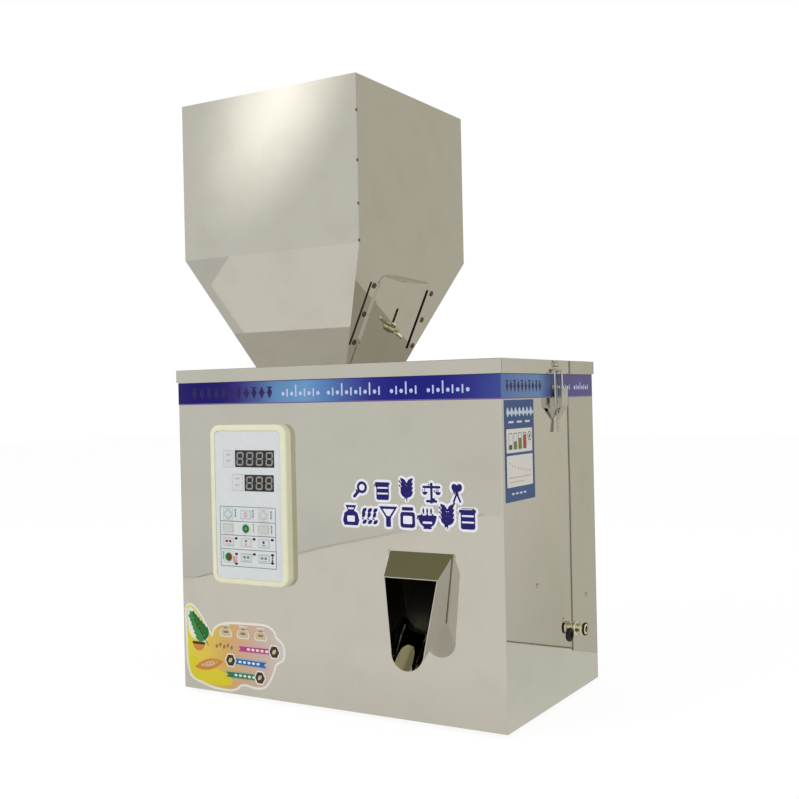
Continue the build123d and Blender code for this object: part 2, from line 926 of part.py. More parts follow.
def make_bail():
    """Wire bail from the lever up and over the catch's lip."""
    half = lever_width / 2 + 0.3 + bail_wire / 2
    low_out = lever_pivot_out - bail_inset
    low = lever_pivot_height - bail_drop
    high_out = skirt_gap + lid_sheet + catch_sheet + 0.4 + bail_wire / 2
    end = lever_width / 2 - lever_wall
    path = FilletPolyline(
        side_place(low_out, low, -end),
        side_place(low_out, low, -half),
        side_place(high_out, bail_top(), -half),
        side_place(high_out, bail_top(), half),
        side_place(low_out, low, half),
        side_place(low_out, low, end),
        radius=0.7 * bail_wire,
    )
    start = Plane(origin=path @ 0, z_dir=path % 0)
    return sweep(start * Circle(bail_wire / 2), path=path)


# Control panel

def make_bezel():
    """Moulded frame with a soft front edge, a ledge for the face sheet and a hollow back."""
    body = extrude(at_front(panel_outline()), amount=panel_out)
    front = body.faces().sort_by(Axis.Y)[0]
    body = fillet(front.edges(), panel_edge)
    ledge_out = panel_out - face_recess - face_sheet
    body -= extrude(at_front(panel_outline(face_margin), ledge_out), amount=panel_out)
    body -= extrude(at_front(panel_outline(face_margin + face_ledge)), amount=panel_out)
    body -= extrude(at_front(panel_outline(2.0)), amount=ledge_out - 2.0)
    return body


def key_outline(row, column, gap=0.0):
    """Outline of one key, round or square, drawn in X and Z."""
    place = Pos(key_columns[column], floor_z + key_rows[row])
    if (row, column) in round_keys:
        return place * Circle(key_round + gap)
    return place * RectangleRounded(key_wide + 2 * gap, key_tall + 2 * gap, key_corner)


def window_outline(place, gap=0.0):
    """Outline of one display window, drawn in X and Z."""
    left, right, low, high = place
    middle = Pos((left + right) / 2, floor_z + (low + high) / 2)
    return middle * Rectangle(right - left + 2 * gap, high - low + 2 * gap)


def make_overlay():
    """Face sheet with its key holes and display windows."""
    face = panel_outline(face_margin + seat_gap)
    for place in windows:
        face -= window_outline(place, seat_gap)
    for row in range(len(key_rows)):
        for column in range(len(key_columns)):
            face -= key_outline(row, column, key_gap)
    return extrude(at_front(face, panel_out - face_recess - face_sheet), amount=face_sheet)


def make_key(row, column):
    """One key, a little proud of the face sheet."""
    outer = panel_out - face_recess + key_proud
    key = extrude(at_front(key_outline(row, column), outer - key_depth), amount=key_depth)
    return chamfer(key.faces().sort_by(Axis.Y)[0].edges(), key_edge)


def make_windows():
    """Smoked windows over the two displays."""
    out = panel_out - face_recess - display_sheet
    return group([extrude(at_front(window_outline(place), out), amount=display_sheet) for place in windows])


def make_display_modules():
    """Digit blocks behind the windows, standing on the board."""
    low = board_off_wall + board_sheet
    high = panel_out - face_recess - face_sheet - 0.2
    blocks = []
    for place in windows:
        blocks.append(extrude(at_front(window_outline(place, -0.5), low), amount=high - low))
    return group(blocks)


def board_outline():
    """Outline of the control board, drawn in X and Z."""
    middle = (panel_left + panel_width / 2, floor_z + panel_low + panel_height / 2)
    return Pos(*middle) * Rectangle(panel_width - 2 * board_inset, panel_height - 2 * board_inset)


def standoff_places():
    """X and Z of the board's standoffs."""
    middle = (panel_left + panel_width / 2, floor_z + panel_low + panel_height / 2)
    half_x = panel_width / 2 - standoff_inset
    half_z = panel_height / 2 - standoff_inset
    return [(middle[0] + i * half_x, middle[1] + k * half_z) for i in (-1, 1) for k in (-1, 1)]


def make_board():
    """Control board with a small tactile switch behind each key."""
    board = extrude(at_front(board_outline(), board_off_wall), amount=board_sheet)
    switch_top = panel_out - face_recess + key_proud - key_depth - 0.6
    base = board_off_wall + board_sheet
    for z in key_rows:
        for x in key_columns:
            switch = Pos(x, floor_z + z) * Rectangle(switch_side, switch_side)
            board += extrude(at_front(switch, base), amount=switch_top - base)
    for x, z in standoff_places():
        board -= rod((x, front_y - panel_out, z), (x, front_y, z), screw_radius)
    return board


def make_standoffs():
    """Four round standoffs between the board and the front sheet."""
    pieces = []
    for x, z in standoff_places():
        pieces.append(rod((x, front_y, z), (x, front_y - board_off_wall, z), standoff_radius))
    return group(pieces)


# Chute and slide

def spout_section(inset=0.0):
    """Rounded outline of the spout's front edge, drawn in its own slanted plane."""
    rise = hypot(spout_top - spout_low, spout_out - spout_top_out)
    top_half = spout_top_half - inset
    low_half = spout_low_half - inset
    top = rise - inset
    low = inset
    turn = low + low_half
    with BuildLine() as edge:
        Line((top_half, top), (-top_half, top))
        Line((-top_half, top), (-low_half, turn))
        ThreePointArc((-low_half, turn), (0, low), (low_half, turn))
        Line((low_half, turn), (top_half, top))
    return make_face(edge.line)


def spout_plane(extra=0.0):
    """Slanted plane of the spout's front edge."""
    lean = Vector(0, spout_out - spout_top_out, spout_top - spout_low).normalized()
    out = Vector(0, -lean.Z, lean.Y)
    origin = Vector(chute_middle, front_y - spout_out, floor_z + spout_low) + out * extra
    return Plane(origin=origin, x_dir=(1, 0, 0), z_dir=out)


def make_chute():
    """Hood outside the front sheet, its neck through the window, and the flange behind it."""
    section = Pos(chute_middle, 0, 0) * at_front(chute_section())
    hood = loft([section, spout_plane() * spout_section()], ruled=True)
    neck = extrude(section, amount=-chute_inside)
    inner_section = Pos(chute_middle, 0, 0) * at_front(chute_section(chute_sheet))
    hollow = loft([inner_section, spout_plane(0.2) * spout_section(chute_sheet)], ruled=True)
    hollow_neck = extrude(inner_section, amount=-chute_inside - 1)
    back = Pos(chute_middle, 0, 0) * at_front(offset(chute_section(), amount=chute_flange), -sheet)
    flange = extrude(back, amount=-chute_sheet)
    return hood + neck + flange - hollow - hollow_neck


def make_slide():
    """Open channel inside, of the chute's own section, that runs from under the bucket to the chute."""
    rise = Vector(0, cos(radians(slide_angle)), sin(radians(slide_angle)))
    start = front_y + chute_inside
    section = Pos(chute_middle, start - front_y, 0) * at_front(chute_section())
    inner = Pos(chute_middle, start - front_y, 0) * at_front(chute_section(chute_sheet))
    run = (slide_back - chute_inside) / cos(radians(slide_angle))
    channel = extrude(section, dir=rise, amount=run) - extrude(inner, dir=rise, amount=run)
    top = floor_z + slide_rim
    reach = 2 * chute_top_half
    channel -= block(chute_middle - reach, chute_middle + reach, start - 1, back_y, top, top + rim_z)
    leg_y = front_y + 0.75 * slide_back
    leg_top = floor_z + chute_low + (0.75 * slide_back - chute_inside) * tan(radians(slide_angle))
    foot = floor_z + sheet
    leg = strip([(leg_y + slide_foot, foot), (leg_y, foot), (leg_y, leg_top + 0.6)], slide_sheet, Side.RIGHT)
    return channel + Pos(chute_middle, 0, 0) * extrude(Plane.YZ * leg, amount=slide_leg / 2, both=True)


# Feeder

def trough_plan(out=0.0):
    """Plan of the trough: straight under the hopper, then its rear wall closes in towards the bucket."""
    left = hopper_offset - trough_back - out
    right = trough_end
    front = middle_y - trough_half - out
    rear = middle_y + trough_half + out
    end_front = front_y + spout_front - out
    end_rear = front_y + spout_front + spout_width + out
    return make_face(
        Polyline(
            (left, front),
            (spout_from, front),
            (right, end_front),
            (right, end_rear),
            (spout_from, rear),
            (left, rear),
            close=True,
        )
    )


def make_trough():
    """Folded trough, open at its right end, with a stiffening hem round its rim."""
    floor = floor_z + trough_floor
    outer = extrude(trough_plan(trough_sheet), amount=trough_wall + trough_sheet)
    outer = Pos(0, 0, floor - trough_sheet) * outer
    inner = Pos(0, 0, floor) * extrude(trough_plan(), amount=trough_wall + 1)
    mouth = block(
        trough_end - 1,
        trough_end + 2,
        front_y + spout_front,
        front_y + spout_front + spout_width,
        floor,
        floor + 2 * trough_wall,
    )
    hem_low = floor + trough_wall - trough_sheet
    hem = Pos(0, 0, hem_low) * extrude(trough_plan(trough_hem), amount=trough_sheet)
    hem -= block(trough_end - 6, trough_end + 20, front_y, back_y, hem_low - 1, hem_low + 4)
    return outer + hem - inner - mouth


def spring_line(place):
    """Middle of one leaf spring pack: bottom and top points in X and Z."""
    low = floor_z + drive_low + drive_block
    high = floor_z + trough_floor - trough_sheet - carrier_thick
    x_low = hopper_offset + place + (high - low) / 2 * tan(radians(spring_angle))
    x_high = x_low - (high - low) * tan(radians(spring_angle))
    return (x_low, low), (x_high, high)


def make_springs():
    """Slanted leaf spring packs, two leaves each."""
    leaves = []
    for place in spring_feet:
        (x_low, low), (x_high, high) = spring_line(place)
        for leaf in (-1, 1):
            shift = leaf * 1.2 * spring_thick
            outline = make_face(
                Polyline(
                    (x_low + shift - spring_thick / 2, low),
                    (x_low + shift + spring_thick / 2, low),
                    (x_high + shift + spring_thick / 2, high),
                    (x_high + shift - spring_thick / 2, high),
                    close=True,
                )
            )
            leaf_solid = extrude(Plane.XZ * outline, amount=spring_width / 2, both=True)
            leaves.append(Pos(0, middle_y, 0) * leaf_solid)
    return group(leaves)


def make_carrier():
    """Plate under the trough with the armature that the magnet pulls."""
    top = floor_z + trough_floor - trough_sheet
    low = top - carrier_thick
    half = drive_width / 2
    plate = block(
        hopper_offset + carrier_from, hopper_offset + carrier_to, middle_y - half, middle_y + half, low, top
    )
    plate = fillet(plate.edges().filter_by(Axis.Z), drive_corner)
    middle = magnet_middle()
    reach = armature_side / 2
    armature = block(
        middle - reach, middle + reach, middle_y - reach, middle_y + reach, low - armature_thick, low
    )
    armature = chamfer(armature.edges().group_by(Axis.Z)[0], 1.5)
    return plate + armature


def make_drive_base():
    """Cast block on the rubber mounts, with raised seats for the springs."""
    low = floor_z + drive_low
    top = low + drive_block
    left = hopper_offset + drive_from
    right = hopper_offset + drive_to
    half = drive_width / 2
    body = block(left, right, middle_y - half, middle_y + half, low, top - spring_seat)
    body = fillet(body.edges().filter_by(Axis.Z), drive_corner)
    for place in spring_feet:
        (x_low, seat), _ = spring_line(place)
        boss = make_face(
            Polyline(
                (x_low - 1.75 * spring_seat, top - spring_seat),
                (x_low + 1.75 * spring_seat, top - spring_seat),
                (x_low + spring_seat, seat),
                (x_low - spring_seat, seat),
                close=True,
            )
        )
        body += Pos(0, middle_y, 0) * extrude(Plane.XZ * boss, amount=half - drive_corner, both=True)
    return body


def magnet_middle():
    """X of the magnet, under the armature."""
    return hopper_offset + magnet_place


def make_magnet():
    """Electromagnet: a stack of core plates with a wound bobbin."""
    low = floor_z + drive_low + drive_block - spring_seat
    carrier_low = floor_z + trough_floor - trough_sheet - carrier_thick
    top = carrier_low - armature_thick - magnet_gap
    x = magnet_middle()
    half = magnet_width / 2
    deep = magnet_depth / 2
    core = block(x - half, x + half, middle_y - deep, middle_y + deep, low, top)
    slot_low = low + 0.4 * magnet_width
    for side in (-1, 1):
        middle = x + side * 0.3 * magnet_width
        core -= block(
            middle - magnet_slot / 2,
            middle + magnet_slot / 2,
            middle_y - deep - 1,
            middle_y + deep + 1,
            slot_low,
            top + 1,
        )
    bobbin = RectangleRounded(bobbin_width, bobbin_depth, magnet_slot)
    return core + Pos(x, middle_y, slot_low + 2) * extrude(bobbin, amount=0.86 * (top - slot_low) - 2)


def make_mounts():
    """Waisted rubber mounts between the bench and the cast block."""
    low = floor_z + bench_top
    high = floor_z + drive_low
    pieces = []
    half = drive_width / 2 - mount_radius - 2
    profile = make_face(
        Polyline(
            (0, low),
            (mount_radius, low),
            (mount_radius, low + 0.2 * mount_height),
            (0.75 * mount_radius, (low + high) / 2),
            (mount_radius, high - 0.2 * mount_height),
            (mount_radius, high),
            (0, high),
            close=True,
        )
    )
    for x in (hopper_offset + drive_from + 1.5 * mount_radius, hopper_offset + drive_to - 1.5 * mount_radius):
        for y in (middle_y - half, middle_y + half):
            pieces.append(Pos(x, y, 0) * revolve(Plane.XZ * profile, axis=Axis.Z))
    return group(pieces)


def make_bench():
    """Folded bench that carries the feeder above the base."""
    top = floor_z + bench_top
    foot = floor_z + sheet
    left = hopper_offset + bench_from
    right = hopper_offset + bench_to
    profile = strip(
        [
            (left + bench_foot, foot),
            (left, foot),
            (left, top),
            (right, top),
            (right, foot),
            (right - bench_foot, foot),
        ],
        bench_sheet,
        Side.RIGHT,
    )
    bench = Pos(0, middle_y, 0) * extrude(Plane.XZ * profile, amount=bench_depth / 2, both=True)
    slot = SlotCenterToCenter(bench_slot, bench_slot_width, rotation=90)
    for x in (left + bench_slot / 2, right - bench_slot / 2):
        bench -= Pos(x, middle_y, top) * extrude(slot, amount=3 * bench_sheet, both=True)
    return bench


# Weighing

def bucket_middle():
    """X and Y of the bucket's middle."""
    return chute_middle, front_y + bucket_front + bucket_half_y


def bucket_form(inset=0.0, over=0.0):
    """Bucket body: straight above, tapered to the doors below."""
    x, y = bucket_middle()
    low = floor_z + bucket_low - over
    shoulder = floor_z + bucket_shoulder
    top = floor_z + bucket_top + over
    mouth = Pos(x, y, low) * Rectangle(2 * (mouth_half_x - inset), 2 * (mouth_half_y - inset))
    waist = Pos(x, y, shoulder) * Rectangle(2 * (bucket_half_x - inset), 2 * (bucket_half_y - inset))
    rim = Pos(x, y, top) * Rectangle(2 * (bucket_half_x - inset), 2 * (bucket_half_y - inset))
    return loft([mouth, waist], ruled=True) + loft([waist, rim], ruled=True)


def door_pin(side):
    """X and Z of one door's hinge pin."""
    x, _ = bucket_middle()
    return x + side * (mouth_half_x + door_pin_out), floor_z + bucket_low + door_pin_up


def make_bucket():
    """Weigh bucket with ears for the door pins and an arm to the load cell."""
    _, y = bucket_middle()
    hollow = bucket_form(bucket_sheet, 0.5)
    bucket = bucket_form() - hollow
    for side in (-1, 1):
        for end in (-1, 1):
            bucket += bucket_hanger(side, end) - hollow
        pin_x, pin_z = door_pin(side)
        reach = 2 * mouth_half_y
        bucket -= rod((pin_x, y - reach, pin_z), (pin_x, y + reach, pin_z), door_pin_radius + turn_gap)
    arm_low = floor_z + cell_low + cell_height
    left, _ = cell_span()
    rear = y + bucket_half_y
    right = left + arm_width
    arm = block(left, right, rear - bucket_sheet, cell_front() + cell_width, arm_low, arm_low + arm_sheet)
    drop = block(left, right, rear, rear + arm_sheet, arm_low - arm_drop, arm_low)
    return bucket + (arm - hollow) + drop


def bucket_hanger(side, end):
    """Ear for one end of a door's pin, with the tab that joins it to the bucket's taper."""
    _, y = bucket_middle()
    pin_x, pin_z = door_pin(side)
    at_y = y + end * (mouth_half_y + bucket_ear)
    inner_x = pin_x - side * (door_pin_out + 8)
    outer_x = pin_x + side * door_pin_out
    ear_high = floor_z + bucket_low + bucket_ear_rise
    outline = make_face(
        Polyline(
            (outer_x, pin_z - 3),
            (outer_x, pin_z + 4),
            (inner_x, ear_high + 4),
            (inner_x, pin_z),
            (pin_x - side * 2, pin_z - 3),
            close=True,
        )
    )
    ear = Pos(0, at_y, 0) * extrude(Plane.XZ * outline, amount=bucket_ear_sheet / 2, both=True)
    wall_y = y + end * (mouth_half_y + 1)
    tab = block(
        min(inner_x, inner_x + side * 5),
        max(inner_x, inner_x + side * 5),
        min(at_y, wall_y),
        max(at_y, wall_y),
        ear_high - 2,
        ear_high,
    )
    return ear + tab


def cell_span():
    """Left and right ends of the load cell."""
    left = chute_middle - bucket_half_x + 6
    return left, left + cell_length


def cell_front():
    """Y of the load cell's front face."""
    return front_y + bucket_front + 2 * bucket_half_y + cell_gap


def make_load_cell():
    """Aluminium bar cell with the double hole that lets it bend."""
    left, right = cell_span()
    front = cell_front()
    rear = front + cell_width
    low = floor_z + cell_low
    middle_z = low + cell_height / 2
    bar = block(left, right, front, rear, low, low + cell_height)
    middle = (left + right) / 2
    reach = 1.3 * cell_hole
    for x in (middle - reach, middle + reach):
        bar -= rod((x, front - 1, middle_z), (x, rear + 1, middle_z), cell_hole)
    web = 0.3 * cell_hole
    return bar - block(middle - reach, middle + reach, front - 1, rear + 1, middle_z - web, middle_z + web)


def make_post():
    """Square tube post on a foot, under the fixed end of the load cell."""
    _, right = cell_span()
    low = floor_z + sheet
    high = floor_z + cell_low
    middle = (right - post_side / 2 - post_wall, cell_front() + cell_width / 2)
    hole_side = post_side - 2 * post_wall
    tube = RectangleRounded(post_side, post_side, 3) - RectangleRounded(hole_side, hole_side, 1.5)
    post = Pos(*middle, low) * extrude(tube, amount=high - low)
    foot = Pos(*middle, low) * extrude(RectangleRounded(post_foot, post_foot, 4), amount=post_plate)
    cap = extrude(RectangleRounded(post_side, post_side, 3), amount=post_plate)
    return post + foot + Pos(*middle, high - post_plate) * cap


def make_door_pins():
    """Hinge pins of the two bucket doors."""
    _, y = bucket_middle()
    half = mouth_half_y + bucket_ear + 1.5
    pins = []
    for side in (-1, 1):
        x, z = door_pin(side)
        pins.append(rod((x, y - half, z), (x, y + half, z), door_pin_radius))
    return group(pins)


def make_door(side):
    """One bucket door: a flat flap under the mouth with two ears round its pin."""
    x, y = bucket_middle()
    pin_x, pin_z = door_pin(side)
    top = floor_z + bucket_low - door_gap
    low = top - door_sheet
    inner_x = x + side * 0.4
    outer_x = pin_x + side * door_edge
    outline = make_face(Polyline((inner_x, low), (inner_x, top), (outer_x, top), (outer_x, low), close=True))
    door = Pos(0, y, 0) * extrude(Plane.XZ * outline, amount=mouth_half_y + door_ear + 0.5, both=True)
    ear = make_face(
        Polyline(
            (pin_x - side * 8, low),
            (pin_x - side * 3, pin_z + 2.8),
            (pin_x + side * 3, pin_z + 2.8),
            (outer_x, low),
            close=True,
        )
    )
    for end in (-1, 1):
        at_y = y + end * (mouth_half_y + door_ear)
        door += Pos(0, at_y, 0) * extrude(Plane.XZ * ear, amount=0.5, both=True)
    reach = 2 * mouth_half_y
    door -= rod((pin_x, y - reach, pin_z), (pin_x, y + reach, pin_z), door_pin_radius + turn_gap)
    if side < 0:
        arm = block(outer_x, outer_x + door_sheet, arm_middle() - 4, arm_middle() + 4, top - door_arm, top)
        door += arm
    return door


def arm_middle():
    """Y of the left door's arm and of the solenoid that pulls it."""
    _, y = bucket_middle()
    return y - mouth_half_y + 4


def solenoid_line():
    """X of the plunger's tip and the height of its axis, beside the left door's arm."""
    pin_x, _ = door_pin(-1)
    height = floor_z + bucket_low - door_gap - door_arm + plunger_radius
    return pin_x - door_edge - plunger_gap, height


def make_solenoid():
    """Solenoid with an open bore for its plunger, on a folded bracket from the base."""
    tip, height = solenoid_line()
    right = tip - solenoid_reach
    left = right - solenoid_length
    y = arm_middle()
    half = solenoid_side / 2
    case = block(left, right, y - half, y + half, height - half, height + half)
    case = fillet(case.edges().filter_by(Axis.X), 2)
    case -= rod((left - 1, y, height), (right + 1, y, height), plunger_radius + turn_gap)
    foot = floor_z + sheet
    bracket = strip(
        [(left - bracket_sheet, height + half), (left - bracket_sheet, foot), (left + bracket_foot, foot)],
        bracket_sheet,
        Side.LEFT,
        Kind.INTERSECTION,
    )
    stand = Pos(0, y, 0) * extrude(Plane.XZ * bracket, amount=half - 1, both=True)
    stand -= rod((left - 4, y, height), (left + 4, y, height), plunger_radius + 1)
    return case + stand


def make_plunger():
    """Solenoid plunger with a flanged tip beside the door's arm."""
    tip, height = solenoid_line()
    y = arm_middle()
    shaft = rod((tip, y, height), (tip - solenoid_reach - solenoid_length + 8, y, height), plunger_radius)
    collar = rod((tip - 3.5, y, height), (tip - 5.5, y, height), plunger_radius + plunger_collar)
    return shaft + collar


# Electrics

def make_transformer():
    """Mains transformer on the base, under the bench."""
    x = hopper_offset + bench_from + bench_foot + 0.6 * yoke_width
    low = floor_z + sheet
    core_low = low + yoke_plate
    core = Pos(x, middle_y, core_low) * extrude(Rectangle(core_width, core_depth), amount=core_height)
    core = chamfer(core.edges().filter_by(Axis.Y), 1.5)
    coil_low = core_low + (core_height - coil_height) / 2
    coil = extrude(RectangleRounded(coil_width, coil_depth, 8), amount=coil_height)
    coil = Pos(x, middle_y, coil_low) * coil
    plate = extrude(RectangleRounded(yoke_width, yoke_depth, 6), amount=yoke_plate)
    plate = Pos(x, middle_y, low) * plate
    hole_out = (core_depth + yoke_depth) / 4
    for end in (-1, 1):
        hole = Pos(x, middle_y + end * hole_out, low) * Circle(screw_radius)
        plate -= extrude(hole, amount=2 * yoke_plate, both=True)
    return core + coil + plate


def make_power_board():
    """Power board on its feet, with a heat sink, capacitors and a relay."""
    left = hopper_offset + power_place
    right = left + power_width
    front = middle_y - power_depth / 2
    rear = middle_y + power_depth / 2
    low = floor_z + sheet
    top = low + power_foot + power_sheet
    board = block(left, right, front, rear, low + power_foot, top)
    for x in (left + 5, right - 5):
        for y in (front + 5, rear - 5):
            board += Pos(x, y, low) * extrude(Circle(3), amount=power_foot)
    sink_left = left + fin_pitch + fin_sheet
    comb = [(sink_left, top)]
    for fin in range(fin_count):
        x = sink_left + fin * fin_pitch
        comb.append((x, top + fin_height))
        comb.append((x + fin_sheet, top + fin_height))
        comb.append((x + fin_sheet, top + 2 * fin_sheet))
        comb.append((x + fin_pitch, top + 2 * fin_sheet))
    comb.append((sink_left + fin_count * fin_pitch, top))
    sink = extrude(Plane.XZ * make_face(Polyline(*comb, close=True)), amount=0.15 * power_depth, both=True)
    board += Pos(0, front + 0.3 * power_depth, 0) * sink
    for place in (0.2, 0.42):
        y = rear - place * power_depth
        x = right - 1.75 * capacitor_radius
        board += Pos(x, y, top) * extrude(Circle(capacitor_radius), amount=capacitor_height)
    relay = extrude(Rectangle(relay_width, relay_depth), amount=relay_height)
    relay_x = right - 0.83 * relay_width
    return board + Pos(relay_x, front + 0.2 * power_depth, top) * relay


def make_grommet():
    """Rubber grommet in the cable hole, with a groove for the sheet."""
    out = half_width
    half_lip = grommet_hole + 1.5
    profile = make_face(
        Polyline(
            (grommet_bore, -grommet_inside),
            (half_lip - 1, -grommet_inside),
            (half_lip, -seat_gap - sheet),
            (grommet_hole - seat_gap, -seat_gap - sheet),
            (grommet_hole - seat_gap, seat_gap),
            (half_lip, seat_gap),
            (half_lip - 0.8, grommet_lip),
            (grommet_bore, grommet_lip),
            close=True,
        )
    )
    turned = revolve(Plane.XZ * profile, axis=Axis.Z)
    return Plane(origin=(out, front_y + grommet_back, floor_z + grommet_height), z_dir=(1, 0, 0)) * turned


def make_socket():
    """Round foot-switch socket with its nut inside the side sheet."""
    neck = socket_radius - 1 - seat_gap
    collar = socket_radius + 0.6
    profile = make_face(
        Polyline(
            (socket_bore, -socket_depth),
            (neck, -socket_depth),
            (neck, 0),
            (collar, 0),
            (collar, 1.6),
            (socket_radius, 1.6),
            (socket_radius, socket_reach - 1),
            (socket_radius - 1, socket_reach),
            (socket_bore, socket_reach),
            close=True,
        )
    )
    turned = revolve(Plane.XZ * profile, axis=Axis.Z)
    floor_disc = Cylinder(socket_bore, socket_floor, align=(Align.CENTER, Align.CENTER, Align.MIN))
    nut = Pos(0, 0, -sheet - socket_nut) * extrude(RegularPolygon(socket_radius + 1, 6), amount=socket_nut)
    nut -= Cylinder(neck - 0.01, 4 * socket_reach)
    body = turned + floor_disc + nut
    return Plane(origin=(half_width, front_y + socket_back, floor_z + socket_height), z_dir=(1, 0, 0)) * body


def build_nodes():
    """Every named piece of the machine."""
    lever = make_lever()
    bail = make_bail()
    base = make_latch_base()
    catch = make_catch()
    nodes = {
        "casing": make_casing(),
        "base_plate": make_base_plate(),
        "rear_panel": make_rear_panel(),
        "case_screws": make_case_screws(),
        "rubber_feet": make_feet(),
        "lid": make_lid(),
        "hopper": make_hopper(),
        "gate_rails": make_rails(),
        "gate_rivets": make_rivets(),
        "gate_stud": make_gate_stud(),
        "gate_plate": make_gate_plate(),
        "wing_nut": make_wing_nut(),
        "latch_catches": group([catch, mirrored(catch)]),
        "latch_base_right": base,
        "latch_base_left": mirrored(base),
        "latch_pins": make_latch_pins(),
        "latch_lever_right": lever,
        "latch_lever_left": mirrored(lever),
        "latch_bail_right": bail,
        "latch_bail_left": mirrored(bail),
        "control_bezel": make_bezel(),
        "control_overlay": make_overlay(),
        "display_windows": make_windows(),
        "display_modules": make_display_modules(),
        "control_board": make_board(),
        "board_standoffs": make_standoffs(),
        "discharge_chute": make_chute(),
        "inner_slide": make_slide(),
        "feeder_trough": make_trough(),
        "trough_carrier": make_carrier(),
        "leaf_springs": make_springs(),
        "drive_base": make_drive_base(),
        "drive_magnet": make_magnet(),
        "rubber_mounts": make_mounts(),
        "feeder_bench": make_bench(),
        "weigh_bucket": make_bucket(),
        "door_pins": make_door_pins(),
        "bucket_door_left": make_door(-1),
        "bucket_door_right": make_door(1),
        "load_cell": make_load_cell(),
        "load_cell_post": make_post(),
        "door_solenoid": make_solenoid(),
        "solenoid_plunger": make_plunger(),
        "transformer": make_transformer(),
        "power_board": make_power_board(),
        "cable_grommet": make_grommet(),
        "foot_switch_socket": make_socket(),
    }
    for row in range(len(key_rows)):
        for column in range(len(key_columns)):
            nodes[f"key_{row + 1}_{column + 1}"] = make_key(row, column)
    return nodes


os.makedirs("parts", exist_ok=True)
for name, shape in build_nodes().items():
    export_step(shape, f"parts/{name}.step")
    print(name, len(shape.solids()), round(shape.volume))
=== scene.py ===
from math import cos, pi, radians, sin

import bmesh
import bpy
from mathutils import Matrix, Vector


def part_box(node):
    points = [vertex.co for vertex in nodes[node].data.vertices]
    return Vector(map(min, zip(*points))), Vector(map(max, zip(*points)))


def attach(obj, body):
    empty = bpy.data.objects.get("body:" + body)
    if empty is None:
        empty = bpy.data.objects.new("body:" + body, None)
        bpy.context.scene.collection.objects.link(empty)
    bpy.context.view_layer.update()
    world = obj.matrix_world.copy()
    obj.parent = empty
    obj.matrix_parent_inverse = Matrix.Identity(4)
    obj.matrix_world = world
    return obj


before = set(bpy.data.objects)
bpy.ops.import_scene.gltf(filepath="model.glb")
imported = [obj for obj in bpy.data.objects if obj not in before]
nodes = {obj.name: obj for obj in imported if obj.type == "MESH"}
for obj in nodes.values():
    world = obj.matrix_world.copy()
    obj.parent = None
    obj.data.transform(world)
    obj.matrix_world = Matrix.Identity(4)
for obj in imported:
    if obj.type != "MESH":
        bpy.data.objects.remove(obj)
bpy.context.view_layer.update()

mm = 0.001

# Lengths on the object are in millimetres, and go through mm when they become a mesh.
casingLow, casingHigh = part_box("casing")
leftWall, frontWall, floorLift = casingLow.x / mm, casingLow.y / mm, casingLow.z / mm
rightWall, rearWall = casingHigh.x / mm, casingHigh.y / mm


# Helpers

def linearColour(hexText):
    channels = [int(hexText[i:i + 2], 16) / 255 for i in (1, 3, 5)]
    linear = [c / 12.92 if c <= 0.04045 else ((c + 0.055) / 1.055) ** 2.4 for c in channels]
    return (*linear, 1.0)


def addNode(tree, kind, inputs=None, **settings):
    node = tree.nodes.new(kind)
    for name, value in settings.items():
        setattr(node, name, value)
    for socket, value in (inputs or {}).items():
        if isinstance(value, bpy.types.NodeSocket):
            tree.links.new(value, node.inputs[socket])
        else:
            node.inputs[socket].default_value = value
    return node


def newMaterial(name):
    material = bpy.data.materials.new(name)
    material.use_nodes = True
    material.node_tree.nodes.clear()
    return material, material.node_tree


def setSurface(tree, shader):
    addNode(tree, "ShaderNodeOutputMaterial", {"Surface": shader.outputs[0]})


def setPrincipled(tree, values):
    setSurface(tree, addNode(tree, "ShaderNodeBsdfPrincipled", values))


def objectPlace(tree):
    return addNode(tree, "ShaderNodeTexCoord").outputs["Object"]


def stretched(tree, vector, scale, **settings):
    return addNode(tree, "ShaderNodeMapping", {"Vector": vector, "Scale": scale}, **settings).outputs[0]


def noise(tree, place, scale, detail, roughness=0.5):
    inputs = {"Vector": place, "Scale": scale, "Detail": detail, "Roughness": roughness}
    return addNode(tree, "ShaderNodeTexNoise", inputs).outputs["Fac"]


def remapped(tree, value, low, high, fromLow=0.0, fromHigh=1.0, **settings):
    inputs = {"Value": value, "From Min": fromLow, "From Max": fromHigh, "To Min": low, "To Max": high}
    return addNode(tree, "ShaderNodeMapRange", inputs, **settings).outputs[0]


def calculated(tree, operation, *values):
    return addNode(tree, "ShaderNodeMath", dict(enumerate(values)), operation=operation).outputs[0]


def mixedColour(tree, factor, first, second, blend="MIX"):
    inputs = {0: factor, 6: first, 7: second}
    return addNode(tree, "ShaderNodeMix", inputs, data_type="RGBA", blend_type=blend).outputs[2]


def twoTones(tree, factor, tone):
    return mixedColour(tree, factor, linearColour(tone[0]), linearColour(tone[1]))


def bumped(tree, height, strength, distance):
    inputs = {"Height": height, "Strength": strength, "Distance": distance}
    return addNode(tree, "ShaderNodeBump", inputs).outputs[0]


def rampColour(tree, value, stops):
    # Each stop is a place and a hex colour, or a place and a grey
    node = addNode(tree, "ShaderNodeValToRGB", {"Fac": value})
    ramp = node.color_ramp
    while len(ramp.elements) < len(stops):
        ramp.elements.new(0.5)
    for element, (place, colour) in zip(ramp.elements, stops):
        element.position = place
        element.color = linearColour(colour) if isinstance(colour, str) else (colour, colour, colour, 1)
    return node.outputs["Color"]


# Materials, each named for what the real one is; lengths are in metres unless a note says millimetres

polish = {
    "waveLength": 0.11, "waveDepth": 0.00035, "lineScale": (6.0, 6.0, 700.0), "gloss": (0.02, 0.035),
    "handSize": 0.045, "handStops": [(0.46, 0.0), (0.72, 1.0)]}


